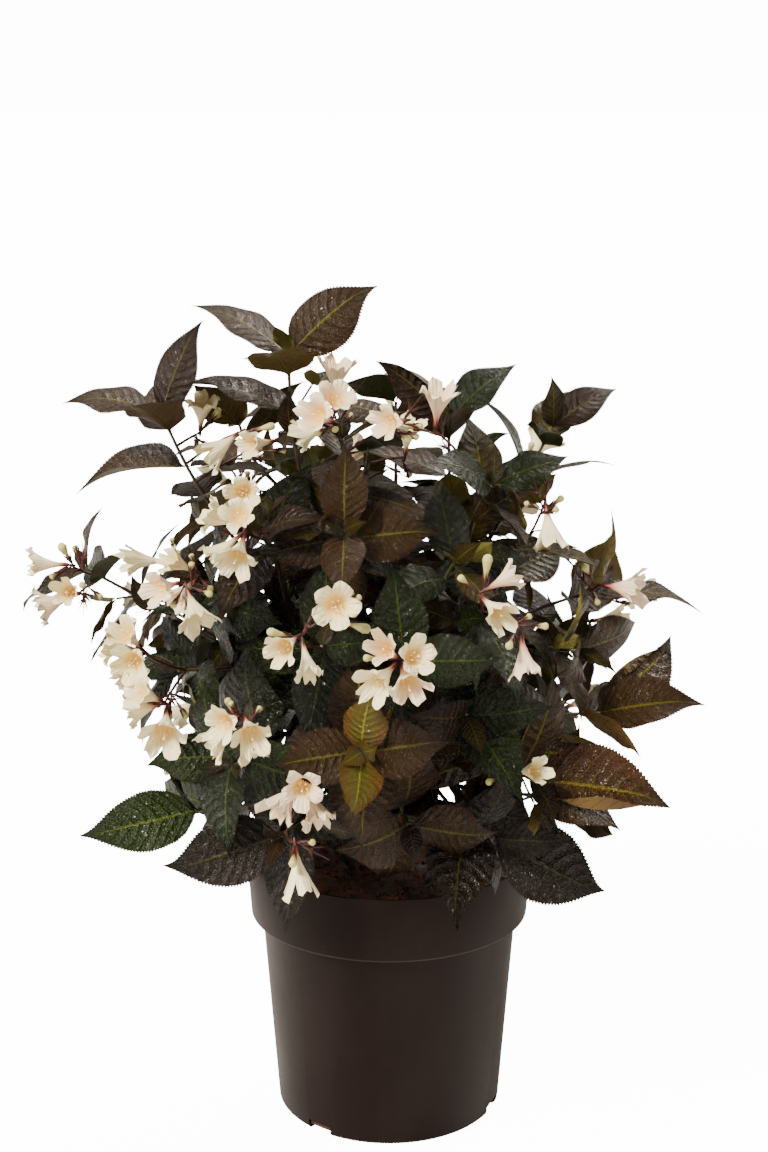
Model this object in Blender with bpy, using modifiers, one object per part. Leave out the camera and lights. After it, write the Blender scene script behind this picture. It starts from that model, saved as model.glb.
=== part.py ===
"""A potted weigela: a dark leaved shrub in white flower, in a plain nursery pot.

The pot, its filling, the short stem, the canes, the boughs and each mass of shoots are
objects of their own. Metres, +Z up, with the origin in the middle of the pot's underside.
"""
import math
import random

import bmesh
import bpy
from mathutils import Matrix, Vector
from mathutils.bvhtree import BVHTree
from mathutils.geometry import interpolate_bezier

# The pot, a deep container of about four litres, and the bearings of its drain notches
# in degrees from its front towards its right
POT_HEIGHT = 0.189
RIM_RADIUS = 0.100
BAND_HEIGHT = 0.0454
BAND_FOOT_RADIUS = 0.097
BODY_TOP_RADIUS = 0.0894
FOOT_RADIUS = 0.0788
POT_WALL = 0.0018
POT_FLOOR = 0.0030
POT_CHAMFER = 0.0030
POT_SIDES = 36
NOTCH_BEARINGS = (-38.0, 68.0, 142.0, 248.0)
NOTCH_WIDTH = 0.019
NOTCH_HEIGHT = 0.0075
NOTCH_DEPTH = 0.012
CLEARANCE = 0.0003

# The filling and the short stem that stands on it
SOIL_TOP = 0.177
STEM_HEIGHT = 0.024
STEM_TOP_RADIUS = 0.0105
STEM_FLARE_RADIUS = 0.0165
STEM_FLARE_HEIGHT = 0.010
STEM_SIDES = 15
FLARE_WAVES = 5
FLARE_DEPTH = 0.10

# Canes and boughs
CANE_RING_RADIUS = 0.0066
CANE_FOOT_RADIUS = 0.0035
CANE_TIP_RADIUS = 0.0021
BOUGH_FOOT_RADIUS = 0.0022
BOUGH_TIP_RADIUS = 0.0016
LIMB_POINTS = 6
LIMB_SIDES = 6
LIMB_MARGIN = 0.0006
PATH_POINTS = 24
CANE_BOW = 0.42
BOUGH_BOW = 0.40
BOUGH_RISE = 0.45
BOUGH_SHIFTS = (0.0, 0.012, -0.012, 0.024, -0.024, 0.036, -0.036, 0.05, -0.05, 0.064)
BOUGH_OUTWARD = 0.85
BOUGH_ALONG = 0.75
FORK_LOWEST = 0.022
FORK_FROM_FOOT = 0.014
FORK_FROM_END = 0.012
FORK_ANGLE = math.radians(34.0)
NEAREST_AT = 0.10

# Leafy stems and side shoots of three sides
LEAFY_LENGTH = 0.135
LEAFY_SHARE = 0.62
LEAFY_FOOT = 0.8
TWIG_SIDES = 3
TWIG_BOW = 0.36
SIDE_FORKS = (0.012, 0.022, 0.006, 0.034, 0.046, 0.058)
SIDE_FORK_LEAN = 0.6
STEM_RADIUS = 0.0015
SHOOT_TIP_RADIUS = 0.0010
TWIG_POINTS = 4
WELD_DISTANCE = 0.0000015
STOUTER_STEP = 0.035
STOUTER_TRIES = 5

# Leaves: opposite pairs down each shoot, the newest and smallest at its tip
CROWN_MIDDLE = Vector((-0.01, 0.0, 0.30))
FIRST_INTERNODE = 0.014
INTERNODE = 0.025
TIP_MARGIN = 0.001
FOOT_MARGIN = 0.006
PAIR_SIZES = (0.86, 0.97, 1.0, 1.0, 0.95)
PAIR_OPENING = 10.0
WIDEST_OPENING = 88.0
LEAF_WIDTH = 0.55
LEAF_THICKNESS = 0.024
LEAF_OUTLINE = ((1.0, 0.0), (0.74, 0.70), (0.27, 0.96), (0.0, 0.0))
LEAF_RIDGE = 0.25
LEAF_CURL = 0.45
LEAF_SAGS = (0.07, 0.34)
LEAF_FOLDS = (0.08, 0.38)
AIMED_SAG = 0.5
LEAF_TRIES = 16
LEAF_WOBBLE = 0.05
LEAF_SHRINK = 0.024
LEAF_MARGIN = 0.0006
REACH_STEP = 0.006
REACH_STEPS = 10

# Flowers: funnels of five sides in clusters on a stalk
FLOWER_LENGTH = 0.033
FLOWER_RADIUS = 0.0148
THROAT_RADIUS = 0.0042
THROAT_AT = 0.62
MOUTH_FLOOR = 0.80
FLOWER_MARGIN = 0.0004
FLOWER_FAN = (26.0, 50.0)
FLOWER_STRAY = 0.30
FLOWER_SIZES = (0.80, 0.98)
PEDUNCLE_RADIUS = 0.0011
STALK_TRIES = 12
STALK_SHIFT = 0.0022
STALK_ROOTS = 4
STALK_LEAST = 0.006
STALK_SUNK = 0.003
HUB_BACK = 0.031
RULE_CLUSTERS = 2
RULE_REACH = 0.052

UP = Vector((0.0, 0.0, 1.0))
FACINGS = {
    "front": Vector((0.0, -1.0, 0.15)),
    "front_up": Vector((0.1, -0.8, 0.6)),
    "up": Vector((0.1, -0.2, 1.0)),
    "left": Vector((-1.0, -0.25, 0.1)),
    "left_front": Vector((-0.7, -0.8, 0.05)),
    "left_down": Vector((-0.75, -0.5, -0.5)),
    "right_front": Vector((0.65, -0.75, 0.3)),
    "right": Vector((0.9, -0.5, 0.0)),
    "down": Vector((0.12, -0.25, -1.0)),
    "front_down": Vector((-0.15, -0.8, -0.55)),
}

# Where each cane's foot stands round the stem, and the mass that it ends in
CANES = {
    "cane_right": (350.0, "crown_right"),
    "cane_back": (62.0, "crown_back"),
    "cane_centre": (134.0, "crown_centre"),
    "cane_left": (206.0, "crown_left"),
    "cane_front": (278.0, "crown_front"),
}


def shoot(tip, lean, roll=0.0, spread=52.0, leaf=0.072, pairs=5, reach=(), twist=(0, 0)):
    """A leafy shoot: its tip, the way it points there, and how its leaf pairs stand.

    A reaching leaf is given by its own tip and by its turn in degrees about its midrib.
    The twist turns the two leaves of the topmost pair about theirs.
    """
    return {
        "tip": Vector(tip), "lean": Vector(lean).normalized(), "roll": roll,
        "spread": spread, "leaf": leaf, "pairs": pairs, "twist": twist,
        "reach": [(Vector(place[:3]), place[3]) for place in reach],
    }


def bloom(place, facing, count=1):
    """A cluster of open flowers: the middle of their mouths, the way they face, how many."""
    return {"place": Vector(place), "facing": FACINGS[facing].normalized(), "count": count}


MASSES = {
    "crown_centre": {
        "shoots": [shoot((-0.067, 0.0, 0.534), (0, 0, 1), 76, 47, 0.081, 6, twist=(-25, 62)),
                   shoot((-0.103, 0.040, 0.480), (-0.2, 0.4, 1), 20, 50, 0.064, 4)],
        "blooms": []},
    "crown_left": {
        "shoots": [shoot((-0.150, -0.020, 0.498), (-0.36, 0, 0.93), 90, 42, 0.074, 6,
                         twist=(-12, 68))],
        "blooms": [bloom((-0.124, 0.0, 0.508), "up"),
                   bloom((-0.117, -0.040, 0.473), "left_down"),
                   bloom((-0.093, -0.045, 0.481), "left_front")]},
    "crown_right": {
        "shoots": [shoot((0.111, 0.020, 0.482), (0.45, 0, 0.89), 90, 20, 0.064, 6,
                         twist=(45, -68))],
        "blooms": []},
    "crown_front": {
        "shoots": [shoot((-0.030, -0.050, 0.485), (0, -0.35, 1), 0, 55, 0.070, 5),
                   shoot((-0.028, -0.105, 0.437), (0, -0.8, 0.5), 90, 60, 0.064, 4)],
        "blooms": [bloom((-0.033, -0.062, 0.517), "front_up"),
                   bloom((-0.063, -0.062, 0.499), "left", 2),
                   bloom((-0.034, -0.012, 0.530), "up"),
                   bloom((-0.007, -0.090, 0.502), "left_front"),
                   bloom((0.013, -0.032, 0.497), "up")]},
    "crown_back": {
        "shoots": [shoot((0.005, 0.095, 0.488), (0, 0.3, 1), 60, 50, 0.072, 6),
                   shoot((-0.045, 0.130, 0.430), (-0.3, 0.8, 0.6), 0, 55, 0.070, 4)]},
    "top_right": {
        "shoots": [shoot((0.040, 0.005, 0.490), (0.1, 0, 1), 90, 42, 0.068, 5,
                         twist=(-60, 45)),
                   shoot((0.066, -0.050, 0.455), (0.45, -0.5, 0.75), 0, 50, 0.066, 4)],
        "blooms": [bloom((0.032, -0.052, 0.518), "up")]},
    "shoulder_right": {
        "shoots": [shoot((0.094, -0.045, 0.424), (0.6, -0.3, 0.75), 0, 50, 0.066, 6)],
        "blooms": [bloom((0.104, -0.060, 0.419), "down")]},
    "far_right": {
        "shoots": [shoot((0.133, -0.012, 0.374), (1, 0, 0.3), 90, 34, 0.070, 5,
                         [(0.209, -0.020, 0.377, 12)]),
                   shoot((0.123, -0.052, 0.345), (0.8, -0.5, 0.2), 0, 50, 0.070, 4)],
        "blooms": [bloom((0.163, -0.060, 0.388), "right")]},
    "low_right": {
        "shoots": [shoot((0.140, -0.055, 0.303), (0.95, -0.2, 0.15), 90, 34, 0.072, 5,
                         [(0.203, -0.070, 0.318, 50), (0.198, -0.020, 0.340, 45)]),
                   shoot((0.093, -0.103, 0.272), (0.8, -0.6, -0.1), 0, 50, 0.088, 4,
                         [(0.182, -0.100, 0.260, 50), (0.163, -0.125, 0.248, 30)])],
        "blooms": [bloom((0.097, -0.130, 0.289), "right_front")]},
    "rim_right": {
        "shoots": [shoot((0.068, -0.100, 0.232), (0.7, -0.7, 0), 0, 45, 0.078, 5,
                         [(0.141, -0.080, 0.181, 45), (0.041, -0.150, 0.200, 0)]),
                   shoot((0.118, -0.035, 0.238), (0.95, -0.2, 0.05), 20, 50, 0.072, 4)],
        "blooms": []},
    "far_left": {
        "shoots": [shoot((-0.203, -0.020, 0.393), (-0.85, -0.1, 0.5), 90, 55, 0.056, 5,
                         [(-0.262, 0.022, 0.364, -6)])],
        "blooms": [bloom((-0.237, -0.044, 0.402), "left"),
                   bloom((-0.224, -0.064, 0.382), "left_front", 2)]},
    "shoulder_left": {
        "shoots": [shoot((-0.125, -0.055, 0.395), (-0.6, -0.5, 0.6), 0, 50, 0.066, 6)],
        "blooms": [bloom((-0.169, -0.060, 0.408), "left"),
                   bloom((-0.141, -0.100, 0.404), "left_front", 2),
                   bloom((-0.135, -0.130, 0.386), "front_down", 2)]},
    "side_left": {
        "shoots": [shoot((-0.137, -0.075, 0.338), (-0.8, -0.5, 0.15), 90, 50, 0.070, 6,
                         [(-0.193, -0.080, 0.360, -35)])],
        "blooms": [bloom((-0.176, -0.118, 0.358), "left_front", 4),
                   bloom((-0.160, -0.140, 0.330), "left_front", 3),
                   bloom((-0.135, -0.150, 0.318), "front_down")]},
    "low_left": {
        "shoots": [shoot((-0.100, -0.120, 0.290), (-0.4, -0.9, 0.1), 90, 55, 0.070, 6)],
        "blooms": [bloom((-0.095, -0.168, 0.313), "front_down", 4)]},
    "rim_left": {
        "shoots": [shoot((-0.128, -0.070, 0.240), (-0.9, -0.3, 0.05), 90, 50, 0.070, 6,
                         [(-0.203, -0.080, 0.223, -50)])],
        "blooms": []},
    "rim_front": {
        "shoots": [shoot((-0.068, -0.130, 0.245), (-0.4, -0.9, 0), 0, 55, 0.068, 6,
                         [(-0.141, -0.130, 0.218, -50), (-0.066, -0.145, 0.187, 0)])],
        "blooms": [bloom((-0.058, -0.178, 0.276), "front_down", 3),
                   bloom((-0.055, -0.170, 0.227), "down")]},
    "front_low": {
        "shoots": [shoot((-0.017, -0.165, 0.313), (0, -0.97, 0.25), 0, 70, 0.062, 6),
                   shoot((0.012, -0.122, 0.250), (0.15, -0.95, -0.05), 0, 58, 0.066, 4)],
        "blooms": []},
    "shoulder_front": {
        "shoots": [shoot((-0.082, -0.080, 0.430), (-0.4, -0.6, 0.7), 0, 50, 0.064, 6)],
        "blooms": [bloom((-0.092, -0.095, 0.459), "front"),
                   bloom((-0.110, -0.112, 0.436), "left_front", 4),
                   bloom((-0.083, -0.125, 0.415), "left_down")]},
    "front_left": {
        "shoots": [shoot((-0.042, -0.130, 0.370), (-0.1, -0.9, 0.4), 0, 55, 0.066, 6)],
        "blooms": [bloom((-0.032, -0.170, 0.405), "front"),
                   bloom((-0.058, -0.188, 0.369), "front_down", 2)]},
    "front_centre": {
        "shoots": [shoot((0.011, -0.150, 0.366), (0.1, -0.9, 0.35), 0, 55, 0.066, 5),
                   shoot((0.040, -0.100, 0.415), (0.2, -0.7, 0.6), 90, 55, 0.066, 4)],
        "blooms": [bloom((0.006, -0.200, 0.377), "front", 4),
                   bloom((0.030, -0.190, 0.360), "right_front")]},
    "front_right": {
        "shoots": [shoot((0.063, -0.115, 0.388), (0.5, -0.8, 0.4), 0, 50, 0.066, 5),
                   shoot((0.048, -0.130, 0.325), (0.4, -0.9, 0.1), 0, 55, 0.074, 4,
                         [(0.083, -0.160, 0.285, 20)])],
        "blooms": [bloom((0.081, -0.150, 0.404), "right", 2),
                   bloom((0.075, -0.160, 0.363), "down")]},
    "back_left": {
        "shoots": [shoot((-0.112, 0.095, 0.437), (-0.5, 0.5, 0.75), 30, 50, 0.070, 6)]},
    "back_right": {
        "shoots": [shoot((0.092, 0.100, 0.430), (0.5, 0.5, 0.7), 60, 50, 0.070, 6)]},
    "side_back_left": {
        "shoots": [shoot((-0.165, 0.070, 0.345), (-0.85, 0.4, 0.35), 70, 50, 0.070, 5),
                   shoot((-0.128, 0.108, 0.268), (-0.7, 0.6, 0), 10, 52, 0.072, 4),
                   shoot((-0.125, 0.030, 0.232), (-0.95, 0.15, -0.05), 40, 52, 0.072, 4)]},
    "side_back_right": {
        "shoots": [shoot((0.150, 0.065, 0.345), (0.85, 0.4, 0.3), 20, 50, 0.070, 5),
                   shoot((0.128, 0.090, 0.265), (0.7, 0.6, 0), 80, 52, 0.072, 4)]},
    "back_middle": {
        "shoots": [shoot((-0.030, 0.162, 0.362), (-0.1, 0.9, 0.35), 40, 52, 0.072, 5),
                   shoot((-0.062, 0.150, 0.278), (-0.4, 0.9, 0), 0, 52, 0.072, 4)]},
    "back_low": {
        "shoots": [shoot((0.055, 0.160, 0.345), (0.4, 0.85, 0.3), 0, 52, 0.072, 5),
                   shoot((0.030, 0.148, 0.262), (0.1, 0.95, -0.05), 50, 52, 0.072, 4),
                   shoot((-0.015, 0.118, 0.228), (-0.2, 0.95, -0.1), 20, 52, 0.070, 4)]},
}


def new_collection(name):
    collection = bpy.data.collections.new(name)
    bpy.context.scene.collection.children.link(collection)
    return collection


def new_material(name, colour, roughness, metallic=0.0):
    material = bpy.data.materials.new(name)
    material.use_nodes = True
    shader = material.node_tree.nodes["Principled BSDF"]
    shader.inputs["Base Color"].default_value = (*colour, 1.0)
    shader.inputs["Roughness"].default_value = roughness
    shader.inputs["Metallic"].default_value = metallic
    return material


def mesh_object(name, bm, collection, material):
    """Turn a bmesh into an object with its faces pointing out."""
    bmesh.ops.recalc_face_normals(bm, faces=bm.faces)
    mesh = bpy.data.meshes.new(name)
    bm.to_mesh(mesh)
    bm.free()
    mesh.materials.append(material)
    thing = bpy.data.objects.new(name, mesh)
    collection.objects.link(thing)
    return thing


def turned_object(name, profile, collection, material):
    """Turn a profile of radius and height round the upright axis."""
    mesh = bpy.data.meshes.new(name)
    points = [(radius, 0.0, height) for radius, height in profile]
    edges = [(i, i + 1) for i in range(len(points) - 1)]
    mesh.from_pydata(points, edges, [])
    mesh.materials.append(material)
    thing = bpy.data.objects.new(name, mesh)
    collection.objects.link(thing)
    screw = thing.modifiers.new("turn", "SCREW")
    screw.axis = "Z"
    screw.steps = POT_SIDES
    screw.render_steps = POT_SIDES
    screw.use_merge_vertices = True
    screw.merge_threshold = 0.00005
    screw.use_normal_calculate = False
    return thing


def band_foot():
    return POT_HEIGHT - BAND_HEIGHT


def inner_profile(gap):
    """The inside of the pot from the middle of its floor to the rim, held off by a gap."""
    inset = POT_WALL + gap
    return [(0.0, POT_FLOOR + gap),
            (FOOT_RADIUS - inset, POT_FLOOR + gap),
            (BODY_TOP_RADIUS - inset, band_foot() + POT_WALL + gap),
            (BAND_FOOT_RADIUS - inset, band_foot() + POT_WALL + gap),
            (RIM_RADIUS - inset, POT_HEIGHT)]


def build_pot(collection, cutters, material):
    """The pot: one turned wall with a stepped band, and drain notches in its foot."""
    lip = POT_WALL * 0.35
    outer = [(RIM_RADIUS - lip, POT_HEIGHT),
             (RIM_RADIUS, POT_HEIGHT - lip),
             (BAND_FOOT_RADIUS, band_foot() + lip),
             (BAND_FOOT_RADIUS - lip, band_foot()),
             (BODY_TOP_RADIUS, band_foot()),
             (FOOT_RADIUS, POT_CHAMFER),
             (FOOT_RADIUS - POT_CHAMFER, 0.0),
             (0.0, 0.0)]
    pot = turned_object("pot", inner_profile(0.0) + outer, collection, material)
    bm = bmesh.new()
    for bearing in NOTCH_BEARINGS:
        turn = Matrix.Rotation(math.radians(bearing - 90.0), 4, "Z")
        middle = Vector((FOOT_RADIUS - POT_CHAMFER, 0.0, 0.0))
        size = Matrix.Diagonal((NOTCH_DEPTH, NOTCH_WIDTH, 2.0 * NOTCH_HEIGHT, 1.0))
        bmesh.ops.create_cube(bm, size=1.0, matrix=turn @ Matrix.Translation(middle) @ size)
    cutter = mesh_object("drain_notches", bm, cutters, material)
    cutter.hide_render = True
    cutter.display_type = "WIRE"
    cut = pot.modifiers.new("notches", "BOOLEAN")
    cut.operation = "DIFFERENCE"
    cut.solver = "EXACT"
    cut.object = cutter
    return pot


def build_soil(collection, material):
    """The filling: it follows the pot's inside and stops short of the rim."""
    profile = inner_profile(CLEARANCE)
    foot, rim = profile[-2], profile[-1]
    part = (SOIL_TOP - foot[1]) / (rim[1] - foot[1])
    edge = (foot[0] + (rim[0] - foot[0]) * part, SOIL_TOP)
    outline = [(0.0, SOIL_TOP), edge] + profile[-2::-1]
    return turned_object("potting_soil", outline, collection, material)


def build_stem(collection, material):
    """The short stem: flared at the soil, nearly straight above, cut flat at both ends."""
    bm = bmesh.new()
    bmesh.ops.create_circle(bm, cap_ends=True, segments=STEM_SIDES, radius=1.0)
    levels = ((0.0, 1.0), (0.35, 0.55), (1.0, 0.12))
    rings = [(share * STEM_FLARE_HEIGHT,
              STEM_TOP_RADIUS + flare * (STEM_FLARE_RADIUS - STEM_TOP_RADIUS), flare)
             for share, flare in levels]
    rings.append((STEM_HEIGHT, STEM_TOP_RADIUS, 0.0))
    ring = list(bm.verts)
    cap = next(iter(bm.faces))
    foot = SOIL_TOP + CLEARANCE
    for number, (height, radius, flare) in enumerate(rings):
        if number:
            made = bmesh.ops.extrude_face_region(bm, geom=[cap])["geom"]
            if number > 1:
                bm.faces.remove(cap)
            ring = [item for item in made if isinstance(item, bmesh.types.BMVert)]
            cap = [item for item in made if isinstance(item, bmesh.types.BMFace)][0]
        for vert in ring:
            angle = math.atan2(vert.co.y, vert.co.x)
            wave = 1.0 + FLARE_DEPTH * flare * math.cos(FLARE_WAVES * angle)
            side = Vector((math.cos(angle), math.sin(angle)))
            vert.co = (*(side * radius * wave), foot + height)
    return mesh_object("stem", bm, collection, material)


def tube(points, radii, sides):
    """A closed bmesh tube along points, extruded ring by ring from a capped circle."""
    bm = bmesh.new()
    bmesh.ops.create_circle(bm, cap_ends=True, segments=sides, radius=1.0)
    flat = [vert.co.copy() for vert in bm.verts]
    ring = list(bm.verts)
    cap = next(iter(bm.faces))
    side = None
    for number, point in enumerate(points):
        before = points[max(number - 1, 0)]
        after = points[min(number + 1, len(points) - 1)]
        along = (after - before).normalized()
        if side is None:
            side = along.orthogonal().normalized()
        side = (side - along * side.dot(along)).normalized()
        other = along.cross(side)
        if number:
            made = bmesh.ops.extrude_face_region(bm, geom=[cap])["geom"]
            if number > 1:
                bm.faces.remove(cap)
            ring = [item for item in made if isinstance(item, bmesh.types.BMVert)]
            cap = [item for item in made if isinstance(item, bmesh.types.BMFace)][0]
            ring.sort(key=lambda vert: vert.index)
        for vert, spot in zip(ring, flat):
            vert.co = point + (side * spot.x + other * spot.y) * radii[number]
        bm.verts.index_update()
    bmesh.ops.recalc_face_normals(bm, faces=bm.faces)
    return bm


def tapered(first, last, count):
    return [first + (last - first) * i / (count - 1) for i in range(count)]


def bent_path(start, start_way, end, end_way, count, bow):
    """A smooth limb from a start to an end that leaves and arrives in given ways."""
    span = (end - start).length * bow
    return interpolate_bezier(start, start + start_way * span, end - end_way * span, end, count)


def path_lengths(points):
    total = [0.0]
    for a, b in zip(points, points[1:]):
        total.append(total[-1] + (b - a).length)
    return total


def point_at(points, distance):
    """The point and direction at a distance along a path."""
    total = path_lengths(points)
    distance = min(max(distance, 0.0), total[-1])
    for i in range(len(points) - 1):
        if distance <= total[i + 1] or i == len(points) - 2:
            span = points[i + 1] - points[i]
            share = (distance - total[i]) / max(span.length, 1e-9)
            return points[i] + span * share, span.normalized()
    return points[-1], (points[-1] - points[-2]).normalized()


def stretch(points, begin, end, count):
    """Evenly spaced points of a path between two distances along it."""
    return [point_at(points, begin + (end - begin) * i / (count - 1))[0] for i in range(count)]


class Space:
    """The room that placed pieces take up, to keep new ones clear of them."""

    def __init__(self):
        self.pieces = []

    def add(self, bm, owner):
        verts = [vert.co for vert in bm.verts]
        middle = sum(verts, Vector()) / len(verts)
        size = max((co - middle).length for co in verts)
        self.pieces.append((BVHTree.FromBMesh(bm), middle, size, owner))

    def clear(self, bm, ignore=()):
        verts = [vert.co for vert in bm.verts]
        middle = sum(verts, Vector()) / len(verts)
        size = max((co - middle).length for co in verts)
        tree = BVHTree.FromBMesh(bm)
        for other, place, reach, owner in self.pieces:
            if owner in ignore or (place - middle).length > size + reach:
                continue
            if tree.overlap(other):
                return False
        return True


def leaf_point(leaf, s, across, lift):
    """A point of the blade: s along it, across in metres, lift off its upper side."""
    along, face = leaf["along"], leaf["face"]
    side = face.cross(along)
    length, sag = leaf["length"], leaf["sag"]
    forward = length * (s - LEAF_CURL * sag * sag * s ** 3)
    fall = length * sag * s * s
    rise = abs(across) * leaf["fold"]
    return leaf["root"] + along * forward + side * across + face * (lift + rise - fall)


def leaf_solid(leaf, swell=0.0):
    """The blade as a flat two sided pyramid on an outline of six corners."""
    bm = bmesh.new()
    bmesh.ops.create_uvsphere(bm, u_segments=6, v_segments=2, radius=1.0)
    thick = leaf["length"] * LEAF_THICKNESS * 0.5 + swell
    for vert in bm.verts:
        if abs(vert.co.z) > 0.5:
            vert.co = leaf_point(leaf, LEAF_RIDGE, 0.0, math.copysign(thick, vert.co.z))
            continue
        angle = math.atan2(vert.co.y, vert.co.x)
        s, share = LEAF_OUTLINE[int(round(abs(angle) / (math.tau / 6.0)))]
        half = (leaf["width"] * 0.5 + swell) * share
        vert.co = leaf_point(leaf, s, math.copysign(half, angle), 0.0)
    bmesh.ops.recalc_face_normals(bm, faces=bm.faces)
    return bm


def flower_solid(flower, swell=0.0):
    """An open flower: a funnel of five sides, hollowed at its mouth."""
    bm = bmesh.new()
    bmesh.ops.create_uvsphere(bm, u_segments=5, v_segments=3, radius=1.0)
    way, root = flower["way"], flower["root"]
    side = way.orthogonal().normalized()
    other = way.cross(side)
    size = flower["size"]
    for vert in bm.verts:
        angle = math.atan2(vert.co.y, vert.co.x) + flower["turn"]
        if vert.co.z > 0.9:
            reach, radius = 0.0, 0.0
        elif vert.co.z > 0.0:
            reach, radius = THROAT_AT, THROAT_RADIUS + swell
        elif vert.co.z > -0.9:
            reach, radius = 1.0, FLOWER_RADIUS + swell
        else:
            reach, radius = MOUTH_FLOOR, 0.0
        spot = side * math.cos(angle) + other * math.sin(angle)
        vert.co = root + (way * reach * FLOWER_LENGTH + spot * radius) * size
    bmesh.ops.recalc_face_normals(bm, faces=bm.faces)
    return bm


def cane_paths():
    """Each cane with the leafy stem it carries on into, as one smooth limb."""
    paths = {}
    for name, (bearing, mass) in CANES.items():
        angle = math.radians(bearing)
        foot = Vector((math.cos(angle), math.sin(angle), 0.0)) * CANE_RING_RADIUS
        foot.z = SOIL_TOP + STEM_HEIGHT + 2.0 * CLEARANCE
        lead = MASSES[mass]["shoots"][0]
        paths[name] = bent_path(foot, UP, lead["tip"], lead["lean"], PATH_POINTS, CANE_BOW)
    return paths


def bough_path(mass, cane_points, cane_name, space, shift):
    """A bough and its leafy stem, from the side of a cane to the first shoot's tip."""
    lead = MASSES[mass]["shoots"][0]
    tip, lean = lead["tip"], lead["lean"]
    ground = SOIL_TOP + STEM_HEIGHT
    start = tip - lean * LEAFY_LENGTH * LEAFY_FOOT
    height = FORK_LOWEST + BOUGH_RISE * max(start.z - ground, 0.0) + shift
    total = path_lengths(cane_points)[-1] - LEAFY_LENGTH
    distance = min(max(height, FORK_FROM_FOOT), total - FORK_FROM_END)
    base, along = point_at(cane_points, distance)
    outward = Vector((tip.x - base.x, tip.y - base.y, 0.0)).normalized()
    way = (outward * BOUGH_OUTWARD + along * BOUGH_ALONG).normalized()
    angle = way.angle(along)
    if angle < FORK_ANGLE:
        return None
    cane_radius = CANE_FOOT_RADIUS + (CANE_TIP_RADIUS - CANE_FOOT_RADIUS) * distance / total
    offset = cane_radius + CLEARANCE + BOUGH_FOOT_RADIUS * math.cos(angle)
    root = base + way * (offset / math.sin(angle))
    points = bent_path(root, way, tip, lean, PATH_POINTS, BOUGH_BOW)
    fits = True
    for margin, ignore in ((LIMB_MARGIN, (cane_name,)), (0.0, ())):
        solid = tube(points, [BOUGH_FOOT_RADIUS + margin] * len(points), LIMB_SIDES)
        fits = fits and space.clear(solid, ignore)
        solid.free()
    return points if fits else None


def split_limb(points):
    """Cut a limb into its bare part and the leafy stem that goes on from it."""
    total = path_lengths(points)[-1]
    leafy = min(LEAFY_LENGTH, total * LEAFY_SHARE)
    cut = total - leafy
    bare = stretch(points, 0.0, cut - CLEARANCE, LIMB_POINTS)
    stem = stretch(points, cut, total, TWIG_POINTS)
    return bare, stem


def limb_radii(name):
    if name in CANES:
        return tapered(CANE_FOOT_RADIUS, CANE_TIP_RADIUS, LIMB_POINTS)
    return tapered(BOUGH_FOOT_RADIUS, BOUGH_TIP_RADIUS, LIMB_POINTS)


def add_limb(space, name, bare, mass, stem):
    """Take up the room of a bare limb and of the leafy stem that goes on from it."""
    radii = [radius + CLEARANCE * 0.5 for radius in limb_radii(name)]
    solid = tube(bare, radii, LIMB_SIDES)
    space.add(solid, name)
    solid.free()
    add_twig(space, stem, STEM_RADIUS, SHOOT_TIP_RADIUS, mass)


def grow_limbs(space):
    """Place the canes, then the boughs on them, and return bare limbs and leafy stems."""
    bare, stems = {}, {}
    canes = cane_paths()
    for name, points in canes.items():
        mass = CANES[name][1]
        bare[name], stems[mass] = split_limb(points)
        add_limb(space, name, bare[name], mass, stems[mass])
    for mass in MASSES:
        if mass in stems:
            continue
        tip = MASSES[mass]["shoots"][0]["tip"]
        start = tip - MASSES[mass]["shoots"][0]["lean"] * LEAFY_LENGTH
        ranked = sorted(canes, key=lambda name: (
            point_at(canes[name], NEAREST_AT)[0].xy - start.xy).length)
        options = [(name, shift) for name in ranked[:3] for shift in BOUGH_SHIFTS]
        for cane, shift in options:
            points = bough_path(mass, canes[cane], cane, space, shift)
            if points:
                break
        else:
            print("no room for the bough of", mass)
            continue
        name = "bough_" + mass
        bare[name], stems[mass] = split_limb(points)
        add_limb(space, name, bare[name], mass, stems[mass])
    return bare, stems


def add_twig(space, points, first, last, owner):
    radii = tapered(first + LIMB_MARGIN, last + LIMB_MARGIN, len(points))
    solid = tube(points, radii, TWIG_SIDES)
    space.add(solid, owner)
    solid.free()


def grow_side_shoots(stems, space):
    """Fork each mass's further shoots off its main stem."""
    twigs = {}
    for mass, stem in stems.items():
        twigs[mass] = [(stem, MASSES[mass]["shoots"][0], mass)]
        for number, item in enumerate(MASSES[mass]["shoots"][1:], 1):
            owner = f"{mass}_{number}"
            for distance in SIDE_FORKS:
                root, along = point_at(stem, distance)
                way = (item["tip"] - root).normalized()
                way = (way + along * SIDE_FORK_LEAN).normalized()
                points = bent_path(root, way, item["tip"], item["lean"], TWIG_POINTS + 1,
                                   TWIG_BOW)
                radii = [STEM_RADIUS + LIMB_MARGIN] * TWIG_POINTS
                solid = tube(points[1:], radii, TWIG_SIDES)
                fits = space.clear(solid, ignore=(mass,))
                solid.free()
                if fits:
                    twigs[mass].append((points, item, owner))
                    add_twig(space, points, STEM_RADIUS, SHOOT_TIP_RADIUS, owner)
                    break
            else:
                print("no room for", owner)
    return twigs


def spread_ways(facing, count, rng):
    """The ways that a cluster's flowers point, fanned round the way it faces."""
    side = facing.orthogonal().normalized()
    ways = []
    start = rng.uniform(0.0, math.tau)
    for i in range(count):
        lean = 0.0 if count == 1 else math.radians(rng.uniform(*FLOWER_FAN))
        turn = start + math.tau * i / count + rng.uniform(-FLOWER_STRAY, FLOWER_STRAY)
        away = Matrix.Rotation(turn, 3, facing) @ side
        ways.append((facing * math.cos(lean) + away * math.sin(lean)).normalized())
    return ways


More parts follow.
